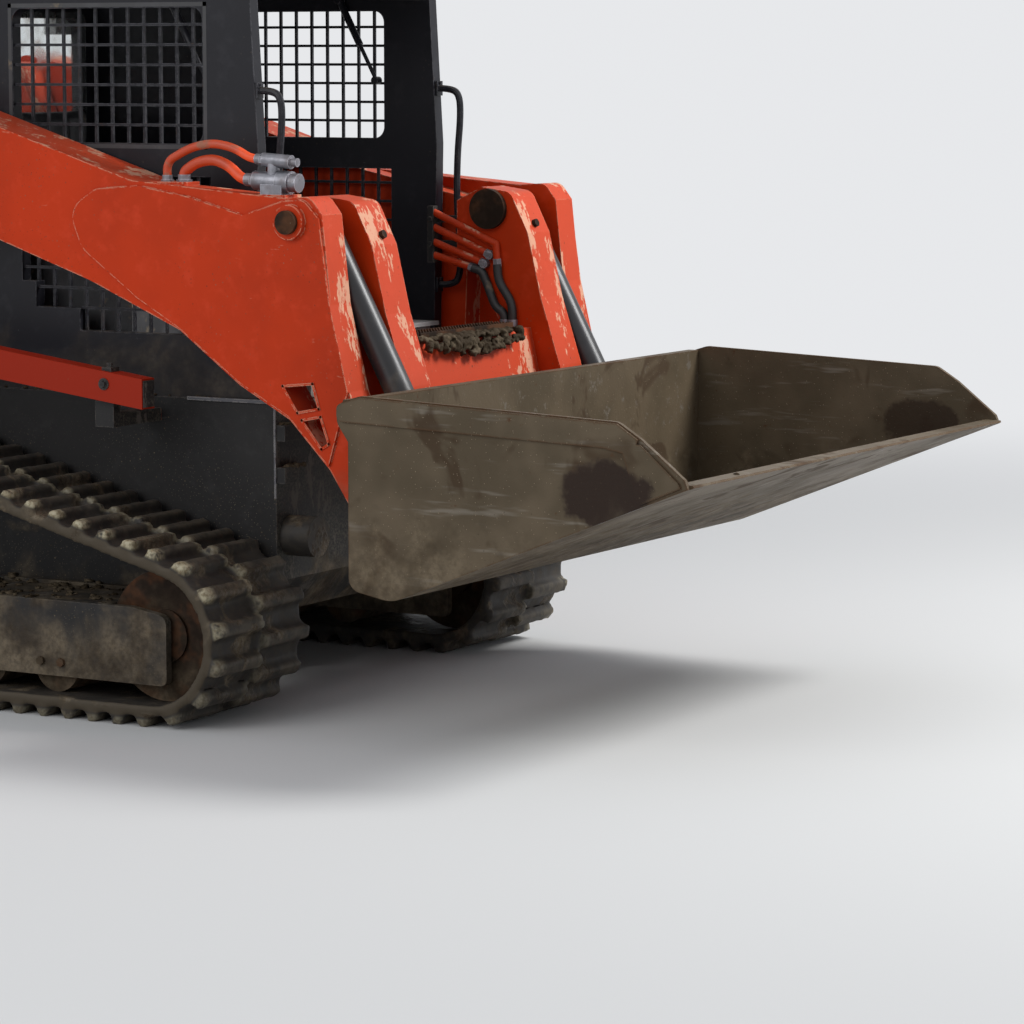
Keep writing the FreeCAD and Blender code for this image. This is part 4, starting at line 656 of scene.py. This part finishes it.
def make_bolts():
    """Bolt heads, gathered on each body."""
    fixed = Build()
    for side in SIGNS:
        out = (0, side, 0)
        for x in ROLLERS:
            for step in (-ROLLER_BOLT["off"], ROLLER_BOLT["off"]):
                fixed.prism((x + step, side * ROLLER_BOLT["y"], ROLLER_BOLT["z"]), out, 0.013,
                            0.010, turn=x * 9)
        for x, z, y, ring, count, radius, tall, turn in BOLT_RINGS:
            for i in range(count):
                angle = 2 * math.pi * i / count
                fixed.prism((x + ring * math.cos(angle), side * y, z + ring * math.sin(angle)),
                            out, radius, tall, turn=turn * i)
        for z in PILLAR_BOLTS["z"]:
            fixed.prism((PILLAR_BOLTS["x"], side * PILLAR_BOLTS["y"], z), (1, 0, 0), 0.009, 0.006)
        for x in ROOF_BOLTS["x"]:
            fixed.prism((x, side * ROOF_BOLTS["y"], ROOF_BOLTS["z"]), (0, 0, 1), 0.012, 0.006)
    add_piece("bolts_chassis", fixed.mesh("bolts_chassis"), "chassis", "worn_steel")
    moving = Build()
    for i in range(EDGE_BOLTS["count"]):
        y = EDGE_BOLTS["first"] + EDGE_BOLTS["pitch"] * i
        moving.prism((EDGE_BOLTS["x"], y, EDGE_BOLTS["z"]), EDGE_NORMAL, 0.014, 0.008, sides=12)
    add_piece("bolts_bucket", moving.mesh("bolts_bucket"), "bucket", "worn_steel")
    arm = Build()
    for side in SIGNS:
        arm.prism((0.575, side * 0.43, 1.345), (0.94, 0, 0.34), 0.012, 0.014, sides=10)
    add_piece("bolts_boom", arm.mesh("bolts_boom"), "boom", "worn_steel")


HOSE_SWAGES = (
    # place, normal, radius, height: two at the couplers, two at the bracket on the arm
    ((0.3045, -0.65, 1.50), (-1, 0, 0.04), 0.018, 0.030),
    ((0.3345, -0.65, 1.557), (-1, 0, 0.07), 0.0145, 0.026),
    ((0.066, -0.65, 1.492), (0, 0, 1), 0.018, 0.020),
    ((0.008, -0.65, 1.492), (0, 0, 1), 0.015, 0.018),
)
ARM_HOSE_Y = 0.3567
ARM_HOSE_FEET = (0.545, 0.518)
TUBE_NUTS = (
    # x, z and the way that the nut points
    (0.452, 1.2585, (0.206, 0, -0.083)),
    (0.434, 1.2305, (0.188, 0, -0.065)),
    (0.396, 1.2155, (0.146, 0, -0.038)),
    (0.4905, 1.241, (0.1, 0, -1.0)),
)
TUBE_ELBOWS = ((0.466, 1.2525), (0.448, 1.2255))
CLAMP_Y = (0.3455, 0.3712, 0.3772)    # near face, face of the block, end of the lugs
CLAMP_X = (0.2560, 0.2760)
CLAMP_Z = (1.2250, 1.3950)
CLAMP_LUG = {"to": 0.3700, "z": (1.2700, 1.3450), "tall": 0.022}


def make_ferrules():
    """Crimped ends where the hoses meet their couplings, nuts and clamps of the arm tubes."""
    swage = Build()
    for place, normal, radius, tall in HOSE_SWAGES:
        swage.prism(place, normal, radius, tall, sides=20)
        swage.prism(place, normal, radius * 1.25, tall * 0.3, sides=6)
    for side in SIGNS:
        for x in ARM_HOSE_FEET:
            swage.prism((x, side * ARM_HOSE_Y, 1.040), (0, 0, 1), 0.0155, 0.022, sides=20)
        for x, z, way in TUBE_NUTS:
            swage.prism((x, side * 0.3585, z), way, 0.0135, 0.022, sides=6)
        for x, z in TUBE_ELBOWS:
            swage.prism((x, side * 0.3500, z), (0, side, 0), 0.0135, 0.0205, sides=16)
    add_piece("hose_ferrules", swage.mesh("hose_ferrules"), "boom", "coupler_steel")
    clamp = Build()
    for side in SIGNS:
        near, mid, far = (side * y for y in CLAMP_Y)
        clamp.box((CLAMP_X[0], near, CLAMP_Z[0]), (CLAMP_X[1], mid, CLAMP_Z[1]))
        for z in CLAMP_LUG["z"]:
            clamp.box((CLAMP_X[0], mid, z), (CLAMP_LUG["to"], far, z + CLAMP_LUG["tall"]))
            clamp.prism((sum(CLAMP_X) / 2, near, z + CLAMP_LUG["tall"] / 2), (0, -side, 0),
                        0.008, 0.006)
    add_piece("tube_clamps", clamp.mesh("tube_clamps"), "boom", "dark_paint")


LEG_WINDOWS = (
    # x and z of the corners of the openings in each arm's leg
    ((0.430, 0.938), (0.528, 0.948), (0.548, 0.880), (0.478, 0.866)),
    ((0.492, 0.846), (0.553, 0.858), (0.580, 0.785), (0.556, 0.770)),
)
RIM_Y = (0.7075, 0.7115)
TUB_LIPS = (
    # start and end as x and z, width, inner and outer y
    ((-0.020, 0.8700), (0.2700, 0.8700), 0.010, 0.5090, 0.5180),
    ((0.272, 0.872), (0.2735, 0.600), 0.006, 0.5125, 0.5165),
)


def make_rims():
    """Raised rims of the leg windows and bare lips along the chassis tub."""
    rims = Build()
    for side in SIGNS:
        for window in LEG_WINDOWS:
            for start, end in zip(window, window[1:] + window[:1]):
                rims.strip(start, end, 0.007, side * RIM_Y[0], side * RIM_Y[1])
    add_piece("leg_window_rims", rims.mesh("leg_window_rims"), "boom", "arm_paint")
    lip = Build()
    for side in SIGNS:
        for start, end, width, y0, y1 in TUB_LIPS:
            lip.strip(start, end, width, side * y0, side * y1)
    add_piece("tub_lips", lip.mesh("tub_lips"), "chassis", "lip_paint")


HANDLE = (
    # x and z along a grab handle, from its upper foot to its lower one
    (0.2090, 1.745), (0.252, 1.745), (0.284, 1.728), (0.288, 1.66), (0.276, 1.54),
    (0.274, 1.38), (0.290, 1.26), (0.284, 1.17), (0.254, 1.150), (0.2110, 1.150),
)
HANDLE_Y = 0.488
HANDLE_RADIUS = 0.0105
PAD_X = (0.2095, 0.2155)
PAD_HALF_WIDTH = 0.016
PAD_HALF_HEIGHT = 0.022


def make_handles():
    """Grab handles bent round, on pads."""
    handles = []
    for word, side in SIDES:
        y = side * HANDLE_Y
        handles.append(tube("handle_" + word, [(x, y, z) for x, z in HANDLE], HANDLE_RADIUS))
        pads = Build()
        for _, z in (HANDLE[0], HANDLE[-1]):
            pads.box((PAD_X[0], y - PAD_HALF_WIDTH, z - PAD_HALF_HEIGHT),
                     (PAD_X[1], y + PAD_HALF_WIDTH, z + PAD_HALF_HEIGHT))
            pads.prism((0.2150, y, z + 0.017), (1, 0, 0), 0.005, 0.005)
        handles.append(pads.mesh("handle_pads_" + word))
    add_piece("grab_handles_smooth", joined(handles, "grab_handles_smooth"), "chassis",
              node_slots["grab_handles"], ("grab_handles",))


GRID_X = (-0.616, 0.055)
GRID_Z = (1.270, 1.500)
GRID_PITCH = 0.057
GRID_Y = 0.479    # the inner face of the bars
BAR = 0.008
UPRIGHTS = 11
UPRIGHT_FOOT = 1.2775
ROWS = 4
FIRST_ROW = 1.282


def make_lower_grids():
    """The cab sides with their lower openings carried up, as the far side shows."""
    for word, side in SIDES:
        name = "cab_side_" + word
        low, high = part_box(name)
        cutter = Build()
        cutter.box((GRID_X[0], low.y - 0.01, GRID_Z[0]), (GRID_X[1], high.y + 0.01, GRID_Z[1]))
        tool = linked("grid_cutter", cutter.mesh("grid_cutter"))
        item = linked("cab_side_work", nodes[name].data.copy())
        change = item.modifiers.new("open", "BOOLEAN")
        change.operation = "DIFFERENCE"
        change.solver = "EXACT"
        change.object = tool
        opened = applied(item)
        bpy.data.objects.remove(item)
        bpy.data.objects.remove(tool)
        add_piece("cab_side_open_" + word, opened, "chassis", node_slots[name], (name,))
        bars = Build()
        inner, outer, far = (side * (GRID_Y + BAR * i) for i in range(3))
        for i in range(UPRIGHTS):
            x = GRID_X[0] + GRID_PITCH * (i + 0.7)
            bars.box((x, inner, UPRIGHT_FOOT), (x + BAR, outer, GRID_Z[1]))
        for i in range(ROWS):
            z = FIRST_ROW + GRID_PITCH * i
            bars.box((GRID_X[0], outer, z), (GRID_X[1], far, z + BAR))
        add_piece("lower_grid_top_" + word, bars.mesh("lower_grid_top_" + word), "chassis",
                  node_slots["lower_screens"])


RAIL_Y = (0.714, 0.774)
RAIL_RISE = math.tan(math.radians(7.4))    # the rails climb to the rear
RAIL_UNDERSIDE = 0.858    # at x = 0, like the next one
RAIL_TOPSIDE = 0.9415
STAYS = (-0.180, -0.900)
STAY = 0.060
FASTENER_X = -0.13


def make_rail_ends():
    """Black channel ends on the side rails, and dark boxes round their stays as painted shade
    below the rails.
    """
    ends = Build()
    for side in SIGNS:
        y0, y1 = sorted(side * y for y in RAIL_Y)
        ends.box((0.0002, y0 + 0.004, 0.863), (0.0030, y1 - 0.004, 0.938))
        # painted shade: each stay is boxed in dark paint, so that it shows dark below its rail
        for x in STAYS:
            low = RAIL_UNDERSIDE - x * RAIL_RISE
            ends.box((x - 0.001, side * 0.514, low - 0.081),
                     (x + STAY + 0.001, side * 0.7430, low - 0.044))
            ends.box((x - 0.002, side * 0.7125, low - 0.082),
                     (x + STAY + 0.002, side * 0.7465, low - 0.008))
        top = RAIL_TOPSIDE - FASTENER_X * RAIL_RISE
        head = (FASTENER_X, side * RAIL_Y[1], top - 0.034)
        ends.prism(head, (0, side, 0), 0.017, 0.004, sides=14)
        ends.prism(head, (0, side, 0), 0.010, 0.012, sides=6)
        ends.box((FASTENER_X - 0.016, y0 + 0.012, top - 0.006),
                 (FASTENER_X + 0.016, y1 - 0.008, top + 0.012))
        ends.prism((FASTENER_X, side * 0.746, top + 0.012), (0, 0, 1), 0.009, 0.012, sides=6)
    add_piece("rail_ends", ends.mesh("rail_ends"), "chassis", "dark_paint")


TOOTH_ROWS = (0.537, 0.553, 0.577, 0.593)
TEETH = 34
TOOTH_PITCH = 0.0152
TREAD_HALF = 0.262
TREAD_LIPS = ((0.528, 0.533), (0.597, 0.602))


def make_step_teeth():
    """Gripping teeth and lips on the step's tread."""
    teeth = Build()
    for row, x in enumerate(TOOTH_ROWS):
        for i in range(TEETH):
            y = -0.255 + TOOTH_PITCH * (i + 0.5 * (row % 2))
            teeth.prism((x, y, 1.052), (0, 0, 1), 0.0075, 0.012, sides=4, tip=0.002,
                        turn=math.pi / 4)
    for x0, x1 in TREAD_LIPS:
        teeth.box((x0, -TREAD_HALF, 1.046), (x1, TREAD_HALF, 1.062))
    add_piece("step_teeth", teeth.mesh("step_teeth"), "boom", "worn_steel")


FRONT_LAMP = {"x": 0.205, "y": 0.36, "z": 2.0465}
REAR_LAMP = {"x": -1.135, "y": 0.35, "z": 1.945}
LAMP_RIMS = ((2.010, 2.014), (2.079, 2.083))


def make_lamps_dress():
    """Round lenses in the work lamps and rims above and below the front ones."""
    clear = Build()
    bezel = Build()
    for side in reversed(SIGNS):
        front, rear = side * FRONT_LAMP["y"], side * REAR_LAMP["y"]
        for step in (-0.03, 0.03):
            clear.prism((FRONT_LAMP["x"], front + step, FRONT_LAMP["z"]), (1, 0, 0), 0.024,
                        0.004, sides=24)
        for step in (-0.025, 0.025):
            clear.prism((REAR_LAMP["x"], rear + step, REAR_LAMP["z"]), (-1, 0, 0), 0.02,
                        0.004, sides=24)
        for z0, z1 in LAMP_RIMS:
            bezel.box((0.160, front - 0.063, z0), (0.2065, front + 0.063, z1))
    add_piece("lamp_lenses", clear.mesh("lamp_lenses"), "chassis", "lamp_clear")
    add_piece("lamp_rims", bezel.mesh("lamp_rims"), "chassis", "cab_plastic")


WINDOW_X = (-0.655, 0.045)
WINDOW_Z = (1.578, 1.993)
WINDOW_Y = 0.5055
GASKET = 0.012
GASKET_DEPTH = 0.003
STICK = {"x": -0.36, "y": 0.33, "z": 1.40}


def make_cab_trim():
    """Gaskets round the side windows and grips on the sticks."""
    gasket = Build()
    (x0, x1), (z0, z1) = WINDOW_X, WINDOW_Z
    for side in SIGNS:
        for a0, b0, a1, b1 in ((x0, z0, x1, z0 + GASKET), (x0, z1 - GASKET, x1, z1),
                               (x0, z0, x0 + GASKET, z1), (x1 - GASKET, z0, x1, z1)):
            gasket.box((a0, side * WINDOW_Y, b0), (a1, side * (WINDOW_Y - GASKET_DEPTH), b1))
    add_piece("window_gaskets", gasket.mesh("window_gaskets"), "chassis", "cab_plastic")
    grips = Build()
    for side in reversed(SIGNS):
        y = side * STICK["y"]
        grips.prism((STICK["x"], y, STICK["z"]), (0.1, 0, 1), 0.024, 0.085, sides=20, tip=0.03)
        knob = Matrix.Translation((STICK["x"] + 0.008, y, STICK["z"] + 0.087))
        bmesh.ops.create_uvsphere(grips.bm, u_segments=20, v_segments=12, radius=0.031,
                                  matrix=knob)
    add_piece("stick_grips", grips.mesh("stick_grips"), "chassis", "cab_plastic", smooth=True)


def surface_of(name):
    """The node's faces, for casting rays onto them."""
    item = nodes[name]
    return BVHTree.FromPolygons([item.matrix_world @ spot.co for spot in item.data.vertices],
                                [list(face.vertices) for face in item.data.polygons])


def frame_clods(rng):
    """Clods on the track frames, the front steps and the ledge of the tub."""
    clods = Build()
    for word, side in SIDES:
        beam = surface_of("track_frame_" + word)
        for _ in range(190):
            x = rng.uniform(-1.30, 0.05)
            y = side * rng.uniform(0.56, 0.925)
            spot = beam.ray_cast(Vector((x, y, 0.6)), Vector((0, 0, -1)))[0]
            radius = rng.uniform(0.005, 0.016)
            if spot is not None and spot.z > 0.30:
                clods.lump((x, y, spot.z + radius * 0.15), radius, rng, 0.4)
        for _ in range(40):
            z = rng.choice((0.685, 0.805))
            clods.lump((rng.uniform(0.280, 0.300), side * rng.uniform(0.41, 0.50), z),
                       rng.uniform(0.004, 0.012), rng)
        for _ in range(50):
            x = rng.uniform(-1.65, 0.25)
            clods.lump((x, side * rng.uniform(0.498, 0.508), 0.874), rng.uniform(0.004, 0.009),
                       rng, 0.4)
    return clods


def step_clods(rng):
    """Mud trodden on the step, every other clod down its front face."""
    clods = Build()
    for i in range(230):
        y = min(0.245, max(-0.275, rng.gauss(-0.02, 0.14)))
        radius = rng.uniform(0.007, 0.019)
        if i % 2:
            clods.lump((rng.uniform(0.600, 0.636), y, 1.040 + radius * 0.2), radius, rng, 0.5)
        else:
            low = 0.030 * math.exp(-(y / 0.16) ** 2)
            clods.lump((0.638, y, rng.uniform(1.016 - low, 1.034)), radius * 0.75, rng, 0.8)
    return clods


BUCKET_HEEL = (0.99, 0.436)    # x and z where the bucket's floor begins
BUCKET_SLOPE = math.atan2(0.352, 0.884)
CLOD_REACH = 0.90    # as far as clods may lie, short of the cutting edge


def bucket_clods(rng):
    """Mud left on the bucket's floor, most of it at the heel and along the sides."""
    clods = Build()
    for i in range(260):
        along = min(abs(rng.gauss(0, 0.28)), CLOD_REACH)
        y = rng.uniform(-0.95, 0.95)
        if i % 3:
            y = rng.choice((-1, 1)) * (0.985 - abs(rng.gauss(0, 0.10)))
        x = BUCKET_HEEL[0] + along * math.cos(BUCKET_SLOPE)
        z = BUCKET_HEEL[1] + along * math.sin(BUCKET_SLOPE)
        clods.lump((x, y, z), rng.uniform(0.005, 0.02), rng, 0.45)
    return clods


def make_mud_lumps():
    """Clods that stick where mud gathers; the same ones each time."""
    rng = random.Random(4)
    add_piece("mud_clods", frame_clods(rng).mesh("mud_clods"), "chassis", "mud", smooth=True)
    step = step_clods(rng).mesh("mud_step")
    caked = rounded("mud_step", step, 0.0032, bulge=0.007, scale=0.012)
    add_piece("mud_step", caked, "boom", "mud", smooth=True)
    inside = bucket_clods(rng).mesh("mud_bucket")
    caked = rounded("mud_bucket", inside, 0.004, bulge=0.006, scale=0.014)
    add_piece("mud_bucket", caked, "bucket", "mud", smooth=True)


PADS = (
    # node, name, the axis that its channels are pressed along
    ("seat_cushion", "seat_pad_low", 2),
    ("seat_back", "seat_pad_back", 0),
)
SEAT_HALF = 0.24
CHANNELS = (-0.45, 0.0, 0.45)    # as shares of half the seat's width
CHANNEL_DEPTH = 0.006
MOST_PUFF = 0.014


def pad_block(name, low, high):
    """An evenly meshed block with soft edges, a little smaller than its room."""
    bm = bmesh.new()
    size = high - low
    inner = Vector((max(0.02, size[i] - 0.03) for i in range(3)))
    bmesh.ops.create_cube(bm, size=1.0, matrix=Matrix.Translation((low + high) / 2)
                          @ Matrix.Diagonal((*inner, 1)))
    bmesh.ops.bevel(bm, geom=list(bm.edges), offset=0.022, segments=3, affect="EDGES",
                    profile=0.6)
    bmesh.ops.subdivide_edges(bm, edges=[e for e in bm.edges if e.calc_length() > 0.05],
                              cuts=16, use_grid_fill=True)
    mesh = bpy.data.meshes.new(name)
    bm.to_mesh(mesh)
    bm.free()
    item = linked(name, mesh)
    change = item.modifiers.new("even", "REMESH")
    change.mode = "VOXEL"
    change.voxel_size = 0.006
    even = applied(item)
    item.modifiers.clear()
    item.data = even
    return item


def puff(item):
    """Blow the pad up as cloth, and keep each point within a short way of its place."""
    rest = [vertex.co.copy() for vertex in item.data.vertices]
    cloth = item.modifiers.new("cloth", "CLOTH")
    cloth.settings.use_pressure = True
    cloth.settings.uniform_pressure_force = 4
    cloth.settings.effector_weights.gravity = 0
    for step in range(1, 21):
        scene.frame_set(step)
    puffed = applied(item)
    item.modifiers.clear()
    item.data = puffed
    for vertex, start in zip(puffed.vertices, rest):
        move = vertex.co - start
        if move.length > MOST_PUFF:
            vertex.co = start + move.normalized() * MOST_PUFF
    scene.frame_set(1)


def press_channels(mesh, low, high, deep):
    """Sewn channels on the pad's front, with every point held inside its room."""
    for vertex in mesh.vertices:
        across = vertex.co.y / SEAT_HALF
        channel = min(abs(across - spot) for spot in CHANNELS)
        if vertex.co[deep] > (low[deep] + high[deep]) / 2:
            vertex.co[deep] -= CHANNEL_DEPTH * math.exp(-(channel / 0.05) ** 2)
        for k in range(3):
            vertex.co[k] = min(max(vertex.co[k], low[k] - 0.004), high[k] + 0.008)
        vertex.co[deep] = max(vertex.co[deep], low[deep] + 0.0005)


def make_seat():
    """Padded seat: each pad is blown up a little as cloth, then held to its place."""
    for node, name, deep in PADS:
        low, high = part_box(node)
        item = pad_block(name, low, high)
        puff(item)
        mesh = item.data
        press_channels(mesh, low, high, deep)
        bpy.data.objects.remove(item)
        pad = add_piece(name, mesh, "chassis", "seat_vinyl", (node,), smooth=True)


make_tracks()
make_bolts()
make_ferrules()
make_rims()
make_handles()
make_lower_grids()
make_rail_ends()
make_step_teeth()
make_lamps_dress()
make_cab_trim()
make_mud_lumps()
make_seat()

# Camera, floor and light

SENSOR = 36
FOCAL_LENGTH = 131.4
CAMERA_TURN = 30
CAMERA_PITCH = 6.89
CAMERA_PLACE = (6.109, -9.283, 1.829)


def make_camera():
    """The camera that the photograph was matched with."""
    data = bpy.data.cameras.new("photo_camera")
    data.sensor_width = SENSOR
    data.lens = FOCAL_LENGTH
    data.clip_end = 400
    camera = linked("photo_camera", data)
    turn = math.radians(CAMERA_TURN)
    pitch = math.radians(CAMERA_PITCH)
    forward = Vector((-math.sin(turn) * math.cos(pitch), math.cos(turn) * math.cos(pitch),
                      -math.sin(pitch)))
    camera.rotation_mode = "QUATERNION"
    camera.rotation_quaternion = (-forward).to_track_quat("Z", "Y")
    camera.location = CAMERA_PLACE
    scene.camera = camera


BACKDROP = (0.80, 0.81, 0.83)
SKY_LIGHT = (0.46, 0.48, 0.52)
FLOOR_COLOUR = (0.62, 0.62, 0.61)
STAGE_HALF = 150
FADE = (3.0, 9.0)    # how far from the origin the floor starts and ends fading to the backdrop


def camera_only(tree, shade, backdrop):
    """Shows the backdrop colour to the camera and in gloss, and the shade to the light."""
    path = tree.nodes.new("ShaderNodeLightPath")
    seen = tree.nodes.new("ShaderNodeMath")
    seen.operation = "MAXIMUM"
    tree.links.new(path.outputs["Is Camera Ray"], seen.inputs[0])
    tree.links.new(path.outputs["Is Glossy Ray"], seen.inputs[1])
    both = tree.nodes.new("ShaderNodeMix")
    both.data_type = "RGBA"
    tree.links.new(seen.outputs[0], both.inputs[0])
    both.inputs[6].default_value = (*shade, 1)
    both.inputs[7].default_value = (*backdrop, 1)
    return both.outputs[2]


def make_world():
    world = bpy.data.worlds.new("studio")
    world.use_nodes = True
    scene.world = world
    background = world.node_tree.nodes["Background"]
    colour = camera_only(world.node_tree, SKY_LIGHT, BACKDROP)
    world.node_tree.links.new(colour, background.inputs[0])
    background.inputs[1].default_value = 1.0


def floor_material():
    """Pale floor that fades into the backdrop with the distance."""
    material = bpy.data.materials.new("studio_floor")
    material.use_nodes = True
    tree = material.node_tree
    shader = tree.nodes["Principled BSDF"]
    shader.inputs["Base Color"].default_value = (*FLOOR_COLOUR, 1)
    shader.inputs["Roughness"].default_value = 0.9
    coords = tree.nodes.new("ShaderNodeTexCoord")
    far = tree.nodes.new("ShaderNodeVectorMath")
    far.operation = "LENGTH"
    tree.links.new(coords.outputs["Object"], far.inputs[0])
    fade = tree.nodes.new("ShaderNodeMapRange")
    fade.interpolation_type = "SMOOTHSTEP"
    tree.links.new(far.outputs["Value"], fade.inputs[0])
    fade.inputs[1].default_value, fade.inputs[2].default_value = FADE
    glow = tree.nodes.new("ShaderNodeEmission")
    glow.inputs[0].default_value = (*BACKDROP, 1)
    mixed = tree.nodes.new("ShaderNodeMixShader")
    tree.links.new(fade.outputs[0], mixed.inputs[0])
    tree.links.new(shader.outputs[0], mixed.inputs[1])
    tree.links.new(glow.outputs[0], mixed.inputs[2])
    tree.links.new(mixed.outputs[0], tree.nodes["Material Output"].inputs[0])
    return material


def make_floor():
    mesh = bpy.data.meshes.new("studio_floor")
    reach = STAGE_HALF
    mesh.from_pydata([(-reach, -reach, 0), (reach, -reach, 0), (reach, reach, 0),
                      (-reach, reach, 0)], [], [(0, 1, 2, 3)])
    floor = linked("studio_floor", mesh)
    mesh.materials.append(floor_material())


LAMPS = (
    # name, place, aim, size, watts
    ("key", (6.0, 3.0, 6.0), (0.3, 0.0, 0.9), 2.4, 640),
    ("fill", (-2.0, -7.5, 5.0), (0.0, 0.0, 0.9), 5.0, 210),
)


def make_lamps():
    for name, place, aim, size, power in LAMPS:
        data = bpy.data.lights.new(name, "AREA")
        data.energy = power
        data.size = size
        lamp = linked(name, data)
        lamp.location = place
        lamp.rotation_mode = "QUATERNION"
        lamp.rotation_quaternion = (Vector(place) - Vector(aim)).to_track_quat("Z", "Y")


make_camera()
make_world()
make_floor()
make_lamps()
scene.view_settings.view_transform = "Standard"
